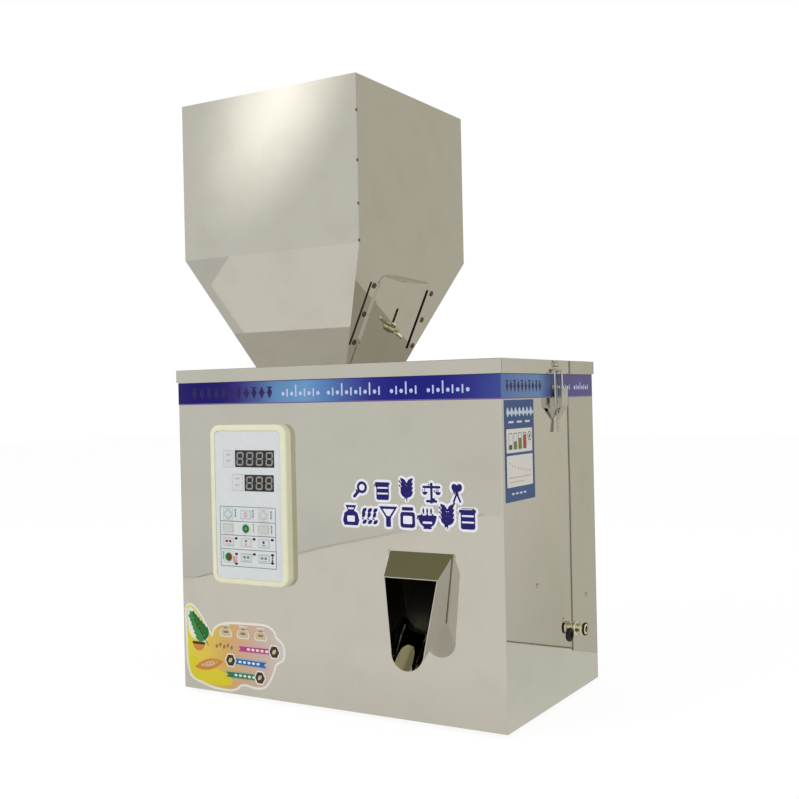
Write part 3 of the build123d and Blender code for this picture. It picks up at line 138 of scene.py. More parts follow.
def polishedStainless(name, tone, smudge, waviness):
    # Mirror-polished 304 sheet: a warm grey mirror whose reflections wander a little,
    # because thin sheet is never flat, with faint polishing lines and finger smudges.
    material, tree = newMaterial(name)
    place = objectPlace(tree)
    # sheet waves about 110 mm long, a tenth of a millimetre deep
    waves = noise(tree, place, 1 / polish["waveLength"], 1.0, 0.4)
    # polishing lines run level, 1 to 2 mm apart, drawn coarser than real
    lines = noise(tree, stretched(tree, place, polish["lineScale"]), 1.0, 2.0, 0.6)
    # smudges of 30 to 60 mm where the sheet has been handled
    patch = rampColour(tree, noise(tree, place, 1 / polish["handSize"], 4.0, 0.55), polish["handStops"])
    lineGloss = remapped(tree, lines, *polish["gloss"])
    setPrincipled(tree, {
        "Metallic": 1.0,
        "Roughness": calculated(tree, "ADD", lineGloss, calculated(tree, "MULTIPLY", patch, smudge)),
        "Base Color": twoTones(tree, patch, tone),
        "Normal": bumped(tree, waves, 1.0, polish["waveDepth"] * waviness)})
    return material


rolling = {"grainScale": (40.0, 1000.0, 300.0), "gloss": (0.26, 0.42), "strength": 0.25, "depth": 0.0001}


def rolledStainless(name, tone):
    # 2B mill finish inside the machine: grey, softly blurred, with rolling grain 1 mm wide
    material, tree = newMaterial(name)
    grain = noise(tree, stretched(tree, objectPlace(tree), rolling["grainScale"]), 1.0, 3.0)
    setPrincipled(tree, {
        "Metallic": 1.0, "Base Color": twoTones(tree, grain, tone),
        "Roughness": remapped(tree, grain, *rolling["gloss"]),
        "Normal": bumped(tree, grain, rolling["strength"], rolling["depth"])})
    return material


def grainyFinish(name, tone, roughness, grain, depth, metallic=0.0, coat=0.0, ior=1.5):
    # Base for moulded, cast, plated and painted pieces: two near tones, a grain of a real size
    # in millimetres, and a bump of that grain.
    material, tree = newMaterial(name)
    place = objectPlace(tree)
    fine = noise(tree, place, 1 / (grain * mm), 3.0, 0.55)
    broad = noise(tree, place, 1 / (25 * grain * mm), 2.0)
    spread = remapped(tree, calculated(tree, "MULTIPLY", fine, broad), 0.0, 1.0, 0.12, 0.42)
    setPrincipled(tree, {
        "Metallic": metallic, "Coat Weight": coat, "IOR": ior,
        "Roughness": remapped(tree, broad, *roughness, 0.3, 0.7), "Base Color": twoTones(tree, spread, tone),
        "Normal": bumped(tree, fine, 0.6, depth * mm)})
    return material


vinyl = {
    "peel": 0.002, "cloud": 0.03, "specular": 0.18, "less": 0.06, "more": 0.08, "bump": 0.15,
    "depth": 0.00005}


def printedVinyl(name, tone, roughness=0.42):
    # Printed vinyl film: flat ink, a faint orange peel 2 mm wide, hardly any gloss
    material, tree = newMaterial(name)
    place = objectPlace(tree)
    peel = noise(tree, place, 1 / vinyl["peel"], 2.0)
    base = linearColour(tone)
    faded = tuple(min(1.0, c * 1.08 + 0.004) for c in base[:3]) + (1.0,)
    setPrincipled(tree, {
        "Specular IOR Level": vinyl["specular"], "IOR": 1.5,
        "Base Color": mixedColour(tree, noise(tree, place, 1 / vinyl["cloud"], 2.0), base, faded),
        "Roughness": remapped(tree, peel, roughness - vinyl["less"], roughness + vinyl["more"]),
        "Normal": bumped(tree, peel, vinyl["bump"], vinyl["depth"])})
    return material


fading = {"ripple": 0.02, "shift": 0.03, "specular": 0.12, "roughness": (0.3, 0.42)}


def fadedFilm(name, axis, start, end, stops):
    # Printed film whose ink changes along one direction; start and end are in millimetres
    material, tree = newMaterial(name)
    place = objectPlace(tree)
    split = addNode(tree, "ShaderNodeSeparateXYZ", {"Vector": place})
    along = remapped(tree, split.outputs[axis], 0.0, 1.0, start * mm, end * mm)
    ripple = noise(tree, place, 1 / fading["ripple"], 2.0)
    shift = calculated(tree, "MULTIPLY_ADD", ripple, fading["shift"], -fading["shift"] / 2)
    setPrincipled(tree, {
        "Specular IOR Level": fading["specular"], "IOR": 1.5,
        "Base Color": rampColour(tree, calculated(tree, "ADD", along, shift), stops),
        "Roughness": remapped(tree, ripple, *fading["roughness"])})
    return material


# Tones, smudge and waviness of each sheet
stainless = {
    "body": (("#cecbc4", "#cac7c0"), 0.012, 0.25), "hopper": (("#cecbc4", "#cac6be"), 0.015, 0.4),
    "inner": ("#a9a59b", "#b9b6ad")}
bodySteel = polishedStainless("mirrorPolishedStainlessBody", *stainless["body"])
hopperSteel = polishedStainless("mirrorPolishedStainlessHopper", *stainless["hopper"])
millSteel = rolledStainless("millFinishStainless", stainless["inner"])
# Below: name, tones, roughness from and to, grain and depth in millimetres, metallic
# Bright nickel plate on the latch and small hardware: hard little highlights, slightly pitted
nickelPlate = grainyFinish("brightNickelPlatedSteel", ("#b9b6ae", "#d0cdc6"), (0.12, 0.24), 0.5, 0.012, 1.0)
# Chrome plate on the wing nut and socket: a warm bright metal, softened by its cast skin
castChrome = grainyFinish("chromePlatedCasting", ("#e6e1c8", "#f3efdc"), (0.2, 0.3), 0.6, 0.01, 1.0)
# Heat-tinted weld metal: straw to brown, dull
tintedWeld = grainyFinish("heatTintedWeld", ("#6c6048", "#857a60"), (0.34, 0.5), 0.8, 0.03, 0.8)
# Painted reflection: the rail rivets are steel coloured near black with a dull brown shine, standing for the
# dark room they mirror
rivetPaintedReflection = grainyFinish("darkRivetSteelPaintedReflection", ("#4a4434", "#5c5542"), (0.3, 0.45), 0.6, 0.02, 0.6)
# Zinc plate on inner brackets: bluish grey with a faint spangle 3 mm wide
zincPlate = grainyFinish("zincPlatedSheetSteel", ("#8e9294", "#a8acae"), (0.34, 0.5), 3.0, 0.01, 1.0)
# Painted casting of the drive: dark blue grey, sandy surface
paintedCasting = grainyFinish("paintedIronCasting", ("#39434d", "#4a545e"), (0.42, 0.6), 1.4, 0.12)
# Varnished transformer plates: dark brown, semi-gloss
varnishedCore = grainyFinish("varnishedCorePlates", ("#3a2f27", "#4c4138"), (0.3, 0.5), 0.9, 0.05, coat=0.3)
# Natural rubber: near black, dull, with a fine moulding grain
mouldedRubber = grainyFinish("mouldedBlackRubber", ("#0d0d0e", "#18181a"), (0.66, 0.84), 0.7, 0.04)
# Painted shade along the rails and under the gate slot: dark strips, brown black and slightly shiny, where the
# gaps show only shadow
paintedShadeStrip = grainyFinish("darkStripPaintedShade", ("#1c1910", "#2b2719"), (0.4, 0.6), 1.2, 0.03)
# Cream ABS of the keypad frame: soft moulded sheen, fine spark-eroded grain
creamAbs = grainyFinish("mouldedCreamAbs", ("#e2e0c1", "#e8e6ca"), (0.3, 0.42), 0.45, 0.015, ior=1.53)
# Bluish white polyester face of the keypad: velvet-textured print film
faceFilm = grainyFinish("texturedPolyesterFace", ("#d2d6d8", "#d8dcdd"), (0.36, 0.48), 0.35, 0.008, ior=1.57)
# Smoked acrylic over the displays: near black with a hard gloss
smokedAcrylic = grainyFinish("smokedAcrylicWindow", ("#121315", "#1a1b1e"), (0.14, 0.2), 6.0, 0.004, ior=1.49)
# Glass-fibre epoxy leaf springs: straw yellow with a visible weave grain
glassFibre = grainyFinish("glassFibreEpoxyLeaf", ("#b9a15a", "#cdb878"), (0.3, 0.45), 0.8, 0.02, coat=0.2)
# Solder-masked circuit board: green, glossy
solderMask = grainyFinish("solderMaskedBoard", ("#1c5a34", "#27713f"), (0.22, 0.34), 1.2, 0.02, coat=0.3)
# Turned brass standoffs: yellow, bright, fine tool marks
turnedBrass = grainyFinish("turnedBrass", ("#b08a3c", "#c9a554"), (0.18, 0.3), 0.4, 0.01, 1.0)
# Milled aluminium load cell: cool grey, satin
milledAluminium = grainyFinish("milledAluminiumBar", ("#b4b6b8", "#c6c8ca"), (0.22, 0.36), 0.8, 0.012, 1.0)
# Black ABS housing of the displays: dull, fine-grained
blackBlock = grainyFinish("blackDisplayHousing", ("#141416", "#1d1d20"), (0.4, 0.55), 0.6, 0.02)
print("materials for metal, rubber and plastic are made")

# CAD nodes keep their shape and get their finish here; a name that ends in _ stands for all that begin so
nodeFinish = {
    bodySteel: ["casing", "rear_panel", "lid", "discharge_chute"],
    hopperSteel: ["hopper", "gate_plate", "gate_rails"],
    millSteel: ["inner_slide", "feeder_trough", "weigh_bucket", "bucket_door_", "base_plate"],
    nickelPlate: ["case_screws", "gate_stud", "latch_", "door_pins", "solenoid_plunger"],
    castChrome: ["wing_nut", "foot_switch_socket"],
    zincPlate: ["feeder_bench", "load_cell_post", "door_solenoid", "trough_carrier"],
    rivetPaintedReflection: ["gate_rivets"],
    paintedCasting: ["drive_base"],
    varnishedCore: ["drive_magnet", "transformer"],
    mouldedRubber: ["rubber_feet", "rubber_mounts", "cable_grommet"],
    creamAbs: ["control_bezel"],
    faceFilm: ["control_overlay", "key_"],
    smokedAcrylic: ["display_windows"],
    glassFibre: ["leaf_springs"],
    solderMask: ["control_board", "power_board"],
    turnedBrass: ["board_standoffs"],
    milledAluminium: ["load_cell"],
    blackBlock: ["display_modules"],
}
for finish, names in nodeFinish.items():
    starts = tuple(name for name in names if name.endswith("_"))
    for name, node in nodes.items():
        if name in names or name.startswith(starts):
            node.data.materials.clear()
            node.data.materials.append(finish)
print("CAD nodes have their finishes")


# Small parts on the taper and the side: dark beads along the rails and a dark strip under the gate slot, both
# painted shade, tack welds and socket rings

def linked(name, data):
    thing = bpy.data.objects.new(name, data)
    bpy.context.scene.collection.objects.link(thing)
    return thing


def newPiece(name, build, materials, body, rounded=True):
    bmesh.ops.recalc_face_normals(build, faces=build.faces)
    mesh = bpy.data.meshes.new(name)
    build.to_mesh(mesh)
    build.free()
    for face in mesh.polygons:
        face.use_smooth = rounded and len(face.vertices) == 4
    for material in materials:
        mesh.materials.append(material)
    piece = linked(name, mesh)
    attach(piece, body)


def circle(count):
    return [(cos(2 * pi * i / count), sin(2 * pi * i / count)) for i in range(count)]


gateTrim = {
    "tilt": 24.29, "binHeight": 173.0, "railTop": -38.6, "railLow": -110.4,
    "beads": ((-69.0, 0.5), (50.0, 2.65)), "bead": 0.5, "beadEnd": 0.6, "beadTip": 0.55, "beadFlat": 0.8,
    "slotShadeHalf": 4.6, "slotShadeTop": -41.0, "slotShadeLow": -95.0, "slotShadeLevels": (0.02, 0.2),
}
hopperLow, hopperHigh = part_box("hopper")
shoulder = hopperHigh.z - gateTrim["binHeight"] * mm
gateOrigin = Vector((hopperHigh.x, (hopperLow.y + hopperHigh.y) / 2, shoulder))
gateTilt = radians(gateTrim["tilt"])


def onTaper(u, v, w):
    # u runs across the taper's right face, v up it and w out of it, in millimetres
    up = Vector((sin(gateTilt), 0, cos(gateTilt)))
    out = Vector((cos(gateTilt), 0, -sin(gateTilt)))
    return gateOrigin + (Vector((0, u, 0)) + up * v + out * w) * mm


def loftRings(build, rings, closed=True):
    made = [[build.verts.new(point) for point in ring] for ring in rings]
    for low, high in zip(made, made[1:]):
        for i in range(len(low)):
            build.faces.new((low[i], low[(i + 1) % len(low)], high[(i + 1) % len(high)], high[i]))
    if closed:
        build.faces.new(made[0][::-1])
        build.faces.new(made[-1])


# Painted shade: dark beads along the rails' edges stand for the shadow in the gaps beside them
build = bmesh.new()
low, high, end, tip, flat = (
    gateTrim[key] for key in ("railLow", "railTop", "beadEnd", "beadTip", "beadFlat"))
for u, w in gateTrim["beads"]:
    rings = []
    for v, grow in ((low, tip), (low + end, 1), (high - end, 1), (high, tip)):
        radius = gateTrim["bead"] * grow
        rings.append([onTaper(u + radius * c, v, w + flat * radius * s) for c, s in circle(12)])
    loftRings(build, rings)
newPiece("rail_edge_painted_shade", build, [paintedShadeStrip], "lid_and_hopper")
# Painted shade: a dark strip under the gate slot stands for the shadow seen through it
build = bmesh.new()
half = gateTrim["slotShadeHalf"]
strip = []
for v, first in ((gateTrim["slotShadeLow"], 180), (gateTrim["slotShadeTop"], 0)):
    turns = [radians(first + 18 * i) for i in range(11)]
    strip += [(half * cos(turn), v + half * sin(turn)) for turn in turns]
loftRings(build, [[onTaper(u, v, w) for u, v in strip] for w in gateTrim["slotShadeLevels"]])
newPiece("slot_painted_shade", build, [paintedShadeStrip], "lid_and_hopper")

# Tack welds down the hopper's near corner, flattened beads 3 mm long
tack = {"heights": (135.0, 84.0, 40.0, 2.5), "radius": 1.25, "long": 1.7, "blunt": 0.7, "flat": 0.6}
build = bmesh.new()
out = Vector((1, -1, 0)).normalized()
across = Vector((1, 1, 0)).normalized()
for height in tack["heights"]:
    middle = Vector((hopperHigh.x, hopperLow.y, hopperHigh.z - (gateTrim["binHeight"] - height) * mm))
    rings = []
    for step in range(1, 8):
        turn = pi * step / 8
        radius = tack["radius"] * sin(turn) ** tack["blunt"]
        level = Vector((0, 0, -tack["long"] * cos(turn)))
        rings.append([
            middle + (level + across * (radius * c) + out * (tack["flat"] * radius * s)) * mm
            for c, s in circle(12)])
    loftRings(build, rings)
newPiece("corner_tack_welds", build, [tintedWeld], "lid_and_hopper")

# Knurled coupling rings on the foot switch socket; each is (start, end, height above the socket)
socketLow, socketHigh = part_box("foot_switch_socket")
socketMiddle = Vector((0, (socketLow.y + socketHigh.y) / 2, (socketLow.z + socketHigh.z) / 2))
knurl = {
    "radius": 6.22, "metal": ((0.2, 2.4, 1.1), (6.6, 9.0, 0.5)), "sleeve": ((10.2, 12.9, 0.4),),
    "edge": 0.25, "teeth": 36, "tooth": 0.18}


def knurledRings(name, ends, finish):
    build = bmesh.new()
    for start, end, proud in ends:
        rings = []
        for x, grow in ((start, 0), (start + knurl["edge"], proud), (end - knurl["edge"], proud), (end, 0)):
            outline = []
            for i, (c, s) in enumerate(circle(2 * knurl["teeth"])):
                radius = knurl["radius"] + grow + (knurl["tooth"] if i % 2 and grow else 0)
                outline.append(socketMiddle + Vector((rightWall + x, radius * c, radius * s)) * mm)
            rings.append(outline)
        loftRings(build, rings, closed=False)
    newPiece(name, build, [finish], "machine_body")


knurledRings("socket_coupling_rings", knurl["metal"], castChrome)
knurledRings("socket_end_sleeve", knurl["sleeve"], mouldedRubber)
# The beads and gasket in this message are painted shade: dark strips where the rail gaps and the gate slot
# show shadow
print("beads, gasket, tack welds and socket rings are in place")


# Flat prints: outlines in millimetres, laid on the front, the side or the keypad

facing = {
    "front": frontWall, "keypad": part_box("control_overlay")[0].y / mm, "keys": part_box("key_1_1")[0].y / mm,
    "windows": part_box("display_windows")[0].y / mm}


def printPlace(side):
    # Origin, u, v and outward directions of each printed face
    if side in facing:
        origin, u, out = Vector((0, facing[side], floorLift)), Vector((1, 0, 0)), Vector((0, -1, 0))
    else:
        wall, way = (rightWall, 1) if side == "right" else (leftWall, -1)
        origin, u, out = Vector((wall, frontWall, floorLift)), Vector((0, 1, 0)), Vector((way, 0, 0))
    return origin, u, Vector((0, 0, 1)), out


def printPiece(name, side, shapes, body="machine_body", film=0.05):
    # shapes is a list of (outline, material, layer); each layer lies one film above the last
    origin, u, v, out = printPlace(side)
    build = bmesh.new()
    materials = []
    for index, (outline, material, layer) in enumerate(shapes):
        if material not in materials:
            materials.append(material)
        low = film * layer * 0.6
        high = film * (layer + 1 + 0.08 * (index % 10))  # neighbours in a layer never lie in one plane
        lowRing, highRing = (
            [build.verts.new((origin + u * a + v * b + out * level) * mm) for a, b in outline]
            for level in (low, high))
        made = [build.faces.new(highRing)]
        count = len(outline)
        for i in range(count):
            after = (i + 1) % count
            made.append(build.faces.new((lowRing[i], lowRing[after], highRing[after], highRing[i])))
        for face in made:
            face.material_index = materials.index(material)
    build.normal_update()
    bmesh.ops.triangulate(build, faces=[f for f in build.faces if len(f.verts) > 4])
    newPiece(name, build, materials, body, rounded=False)


def lay(shapes, layer, material, *outlines):
    shapes += [(outline, material, layer) for outline in outlines]


def inkSet(prefix, tones):
    return {
        name: printedVinyl(prefix + name[0].upper() + name[1:] + "Ink", tone) for name, tone in tones.items()}


def bar(u0, v0, u1, v1, corner=0.0):
    corner = min(corner, (u1 - u0) / 2, (v1 - v0) / 2)
    if corner <= 0:
        return [(u0, v0), (u1, v0), (u1, v1), (u0, v1)]
    left, right, low, high = u0 + corner, u1 - corner, v0 + corner, v1 - corner
    ring = []
    for cu, cv, first in ((right, low, -90), (right, high, 0), (left, high, 90), (left, low, 180)):
        for step in range(6):
            turn = radians(first + 18 * step)
            ring.append((cu + corner * cos(turn), cv + corner * sin(turn)))
    return ring


def disc(u, v, radius, count=28, squash=1.0):
    return [(u + radius * c, v + squash * radius * s) for c, s in circle(count)]


def halfDisc(u, v, radius, count=18):
    turns = [pi + pi * i / count for i in range(count + 1)]
    return [(u + radius * cos(turn), v + radius * sin(turn)) for turn in turns]


def leaf(u, v, length, width, turn, count=10):
    # From the stem to the tip along one edge, and back along the other
    ring = []
    for i in list(range(count + 1)) + list(range(1 - count, 0)):
        t = abs(i) / count
        ring.append((t * length, (-width if i < 0 else width) / 2 * sin(pi * t) ** 0.8))
    c, s = cos(radians(turn)), sin(radians(turn))
    return [(u + c * a - s * b, v + s * a + c * b) for a, b in ring]


def moved(outline, du, dv, growU=1.0, growV=None):
    return [(a * growU + du, b * (growU if growV is None else growV) + dv) for a, b in outline]


def turned(outline, turn):
    c, s = cos(radians(turn)), sin(radians(turn))
    return [(c * a - s * b, s * a + c * b) for a, b in outline]


# Blue band round the top: violet at the left, sky blue, then deep blue
frontColours = [
    (0.0, "#251a63"), (0.07, "#130d66"), (0.16, "#1c1668"), (0.22, "#36307a"), (0.28, "#4b5a96"),
    (0.34, "#5f88b6"), (0.44, "#6a97c4"), (0.50, "#587fb6"), (0.57, "#42589a"), (0.64, "#2c2b84"),
    (0.72, "#1b1a7c"), (0.84, "#1e1e7c"), (0.92, "#2f3284"), (1.0, "#3e4a92")]
sideColours = [
    (0.0, "#506a9e"), (0.15, "#5c769e"), (0.36, "#6080a6"), (0.46, "#4a5c90"), (0.56, "#4a5276"),
    (0.68, "#504c7c"), (0.85, "#544f82"), (1.0, "#57537e")]
band = {
    "low": 317.0, "high": 341.6, "edge": 1.3, "sideLattice": (14, 92, 10), "frontLattice": (-176, -72, 11),
    "frontBeads": [(-54, 9, 5.6), (4, 12, 5.6), (80, 6, 5.6), (122, 9, 5.4)],
    "sideBeads": [(132, 8, 5.6), (186, 8, 5.6)]}
bandMiddle = (band["low"] + band["high"]) / 2
bodyDepth = rearWall - frontWall
bandFront = fadedFilm("blueVioletFadedVinylFront", "X", leftWall, rightWall, frontColours)
bandSide = fadedFilm("blueVioletFadedVinylSide", "Y", frontWall, rearWall, sideColours)
bandLower = printedVinyl("mauveBorderPrint", "#6f5e8e")
bandUpper = printedVinyl("deepVioletBorderPrint", "#2b2470")
bandMark = printedVinyl("paleBlueMarkPrint", "#b9c3e2")
bandDark = printedVinyl("indigoMarkPrint", "#2a1c52")


def bandPrint(name, side, film, u0, u1, marks):
    low, high, edge = band["low"], band["high"], band["edge"]
    printPiece(name, side, [
        (bar(u0, low, u1, high), film, 0), (bar(u0, low, u1, low + edge), bandLower, 1),
        (bar(u0, high - edge / 2, u1, high), bandUpper, 1)] + marks)


def latticeRow(u0, u1, count, v, tall):
    # Ornament of upright lozenges, each with a bar across
    shapes = []
    step = (u1 - u0) / (count - 1)
    reach = tall / 2
    for i in range(count):
        u = u0 + i * step
        lozenge = [(u - 0.34 * step, v), (u, v - reach), (u + 0.34 * step, v), (u, v + reach)]
        if i % 2:
            across = bar(u - 0.42 * step, v - 0.7, u + 0.42 * step, v + 0.7)
        else:
            across = bar(u - 0.36 * step, v + 0.36 * tall, u + 0.36 * step, v + 0.46 * tall)
        lay(shapes, 1, bandDark, lozenge, across)
    return shapes


def beadRow(groups, v, small):
    # Ornament of small beads and ticks in groups; groups is a list of (start, count, step)
    shapes = []
    for start, count, step in groups:
        for i in range(count):
            u = start + i * step
            tall = small * (1.5 if i % 3 == 0 else 1.0)
            if i % 2:
                mark = bar(u - 0.2 * step, v - small, u + 0.12 * step, v - small + 2 * tall, 0.4)
            else:
                mark = disc(u, v - 0.2 * small, 0.36 * step, 14, 1.05)
            lay(shapes, 1, bandMark, mark)
    return shapes


frontMarks = latticeRow(*band["frontLattice"], bandMiddle - 0.4, 13.5)
frontMarks += beadRow(band["frontBeads"], bandMiddle - 1.4, 4.2)
bandPrint("front_band_sticker", "front", bandFront, leftWall, rightWall, frontMarks)
sideMarks = latticeRow(*band["sideLattice"], bandMiddle, 12.5)
rightMarks = sideMarks + beadRow(band["sideBeads"], bandMiddle - 1.6, 2.6)
bandPrint("right_band_sticker", "right", bandSide, 0, bodyDepth, rightMarks)
bandPrint("left_band_sticker", "left", bandSide, 0, bodyDepth, sideMarks)
print("blue band sticker is on the front and sides")

# Front decal: two rows of navy pictograms with a white halo
navyPrint = printedVinyl("navyBlueVinyl", "#1b1464")
whitePrint = printedVinyl("whiteVinyl", "#e6e6ee")
# Each pictogram is (inked outlines, cut-outs) in a square from -1 to 1
pictograms = {
    "funnel": (
        [[(-1, 0.95), (1, 0.95), (0.26, -0.1), (0.26, -0.95), (-0.26, -0.95), (-0.26, -0.1)]],
        [[(-0.62, 0.7), (0.62, 0.7), (0.14, 0.06), (-0.14, 0.06)]]),
    "sack": (
        [[(-0.75, -0.95), (0.75, -0.95), (0.92, -0.5), (0.74, 0.2), (0.34, 0.46), (0.62, 0.95), (-0.62, 0.95),
          (-0.34, 0.46), (-0.74, 0.2), (-0.92, -0.5)]],
        [bar(-0.42, -0.62, 0.42, -0.05, 0.1), bar(-0.3, 0.56, 0.3, 0.72)]),
    "jar": (
        [bar(-0.78, -0.95, 0.78, 0.5, 0.28), bar(-0.6, 0.62, 0.6, 0.95, 0.1)],
        [bar(-0.48, -0.6, 0.48, 0.14, 0.12)]),
    "scale": (
        [bar(-0.98, 0.42, 0.98, 0.66, 0.1), bar(-0.13, -0.8, 0.13, 0.95, 0.05),
         bar(-0.6, -0.95, 0.6, -0.7, 0.08), halfDisc(-0.72, 0.08, 0.3), halfDisc(0.72, 0.08, 0.3),
         bar(-0.76, 0.05, -0.68, 0.5), bar(0.68, 0.05, 0.76, 0.5)], []),
    "sprig": (
        [leaf(0, -0.95, 1.9, 0.26, 90)]
        + [leaf(0, -0.55 + 0.42 * k, 0.95, 0.42, 90 + lean) for k in range(4) for lean in (-48, 48)], []),
    "scoop": (
        [turned(bar(-0.95, -0.16, 0.1, 0.16, 0.14), 45), disc(0.34, 0.34, 0.6, 22)],
        [disc(0.34, 0.34, 0.32, 18)]),
    "bowl": (
        [halfDisc(0, 0.05, 0.92), bar(-0.98, 0.02, 0.98, 0.24, 0.08), bar(-0.42, -0.98, 0.42, -0.8)]
        + [leaf(-0.4 + 0.4 * k, 0.36, 0.6, 0.2, 90) for k in range(3)],
        [bar(-0.5, -0.5, 0.5, -0.3, 0.1)]),
    "grains": (
        [leaf(-0.8 + 0.6 * k, -0.75 + 0.55 * row, 0.62, 0.36, 60 if row % 2 else 35)
         for row in range(3) for k in range(3)], []),
    "drum": (
        [bar(-0.72, -0.85, 0.72, 0.8, 0.2), bar(-0.82, 0.62, 0.82, 0.9, 0.1)],
        [bar(-0.6, -0.3, 0.6, -0.14), bar(-0.6, 0.26, 0.6, 0.42)]),
    "spoons": (
        [turned(bar(-0.1, -0.95, 0.1, 0.3, 0.08), turn) for turn in (-24, 24)]
        + [turned(disc(0, 0.58, 0.32, 18, 1.2), turn) for turn in (-24, 24)], []),
}
# Each row is (names, first u, pitch, middle v, half size)
decal = {"halo": 2.5, "rows": [
    (("scoop", "drum", "sprig", "scale", "spoons"), 39.0, 28.0, 226.8, 10.2),
    (("sack", "grains", "funnel", "jar", "bowl", "sprig", "drum"), 28.6, 22.3, 201.6, 10.8)]}
shapes = []
halo = decal["halo"]
for names, first, pitch, v, reach in decal["rows"]:
    for i, name in enumerate(names):
        u = first + pitch * i
        inked, cuts = pictograms[name]
        for outline in inked:
            for c, s in circle(8):
                lay(shapes, 0, whitePrint, moved(outline, u + halo * c, v + halo * s, reach))
            lay(shapes, 1, navyPrint, moved(outline, u, v, reach))
        lay(shapes, 2, whitePrint, *(moved(cut, u, v, reach) for cut in cuts))
printPiece("front_pictogram_decal", "front", shapes)
print("front decal is on")


# Contour sticker low on the left: a sprig, sacks, ribbons and a warm fading ground

def softened(points, rounds=3):
    # Corner cutting turns a few control points into a smooth closed outline
    for _ in range(rounds):
        cut = []
        for i, (a, b) in enumerate(points):
            c, d = points[(i + 1) % len(points)]
            cut += [(0.75 * a + 0.25 * c, 0.75 * b + 0.25 * d), (0.25 * a + 0.75 * c, 0.25 * b + 0.75 * d)]
        points = cut
    return points


stickerGround = fadedFilm("stickerGroundInk", "X", -196, -60, [
    (0.0, "#d8cf3a"), (0.18, "#dcc552"), (0.42, "#d3aa62"), (0.62, "#cfa98c"), (0.8, "#c9b3a8"),
    (1.0, "#cfc6c0")])
ink = inkSet("sticker", {
    "sand": "#c3b496", "tan": "#8d744c", "green": "#1f6b2c", "leaf": "#34863f", "rose": "#b0447a",
    "pink": "#c9a0ac", "blue": "#2b5fa0", "sky": "#8fa9c4", "moss": "#3c6f4c", "mint": "#8fae9b",
    "umber": "#3f3424", "orange": "#c9823a", "lemon": "#d3c52c"})
ink["border"] = printedVinyl("stickerWhiteBorder", "#e0dfd6")
contour = softened([
    (-194, 56), (-195, 74), (-195, 92), (-186, 93), (-175, 82), (-164, 66), (-158, 58), (-155, 70),
    (-140, 76), (-110, 77), (-82, 78), (-73, 72), (-72, 66), (-61, 60), (-61, 44), (-72, 40), (-75, 30),
    (-84, 14), (-96, 10), (-118, 14), (-128, 4), (-160, 5), (-172, 9), (-188, 12), (-194, 26)])
edge = 2.6
art = []
lay(art, 0, ink["border"], *(moved(contour, edge * c, edge * s) for c, s in circle(8)))
lay(art, 1, stickerGround, contour)
lay(art, 2, ink["lemon"], softened([(-190, 9), (-134, 7), (-130, 15), (-140, 22), (-176, 30), (-192, 40)]))
lay(art, 2, ink["border"], softened([
    (-193, 60), (-194, 90), (-187, 91), (-176, 80), (-164, 64), (-166, 52), (-180, 54)]))
# sprig with green leaves, leaning to the upper left
for k in range(6):
    along = k / 5
    u, v = -168 - 17 * along, 56 + 23 * along
    for way, tone in ((-1, "green"), (1, "leaf")):
        turn = 127 + way * (46 - 10 * along)
        lay(art, 3, ink[tone], leaf(u, v, 15.0 - 7.0 * along, 7.4 - 2.2 * along, turn, 8))
lay(art, 4, ink["leaf"], leaf(-186, 80, 8, 4, 122, 8))
lay(art, 4, ink["umber"], leaf(-163, 49, 40, 1.6, 127, 8))
# three sacks along the top
sack = {"first": -139, "pitch": 24, "middle": 68.5, "outer": (9.6, 7.2), "inner": (8.4, 6.2)}
for k in range(3):
    u = sack["first"] + sack["pitch"] * k
    for outline in pictograms["sack"][0]:
        lay(art, 2, ink["border"], moved(outline, u, sack["middle"], *sack["outer"]))
        lay(art, 3, ink["sand"], moved(outline, u, sack["middle"], *sack["inner"]))
    lay(art, 4, ink["tan"], bar(u - 3.4, 66, u + 3.4, 68.4, 0.6), bar(u - 3.0, 71.4, u + 3.0, 72.6, 0.4))
# grains, and an orange husk
lay(art, 3, ink["tan"], *(leaf(-153 + 5.2 * k, 48 + (k % 2) * 2, 5.2, 3.2, 70, 6) for k in range(5)))
lay(art, 3, ink["orange"], leaf(-184, 24, 42, 12, 14, 16))
lay(art, 4, ink["sand"], leaf(-176, 26.6, 26, 5.4, 14, 12))
lay(art, 5, ink["orange"], *(disc(-170 + 5.2 * k, 28.6 + 1.3 * k, 1.3, 12) for k in range(4)))
# a little orange pot under the sprig
lay(art, 3, ink["orange"], halfDisc(-178, 51, 8.2))
lay(art, 4, ink["umber"], bar(-187, 50, -169, 53, 1.2))
# three ribbons, each with a dark badge, the middle one turned round: (deep, light, from, to, middle, way)
ribbons = (
    ("rose", "pink", -122, -72, 50.5, 1), ("blue", "sky", -134, -84, 35.8, -1),
    ("moss", "mint", -140, -92, 20.8, 1))
for deep, light, u0, u1, v, way in ribbons:
    notch = [(u0, v - 4.4), (u1, v - 3.4), (u1, v + 5.2), (u0, v + 4.2), (u0 + 3.4, v)]
    if way < 0:
        notch = [(u0 + u1 - a, b) for a, b in notch]
    lay(art, 2, ink[light], notch)
    lay(art, 3, ink[deep], [(a, v + (b - v) * 0.66) for a, b in notch])
    for k in range(5):
        u = u0 + 12 + 6.2 * k
        lay(art, 4, ink["border"], bar(u, v - 1.0, u + 4.0, v + 1.6, 1.0))
    u = u1 - 1 if way > 0 else u0 + 1
    lay(art, 4, ink["border"], [(u + 8.2 * c, v + 0.8 + 8.5 * s) for c, s in circle(6)])
    lay(art, 5, ink["umber"], [(u + 6.6 * c, v + 0.8 + 6.9 * s) for c, s in circle(6)])
    lay(art, 6, ink["sand"], leaf(u - 2.6, v - 1.6, 7.0, 4.2, 46, 8))
printPiece("front_contour_sticker", "front", art)

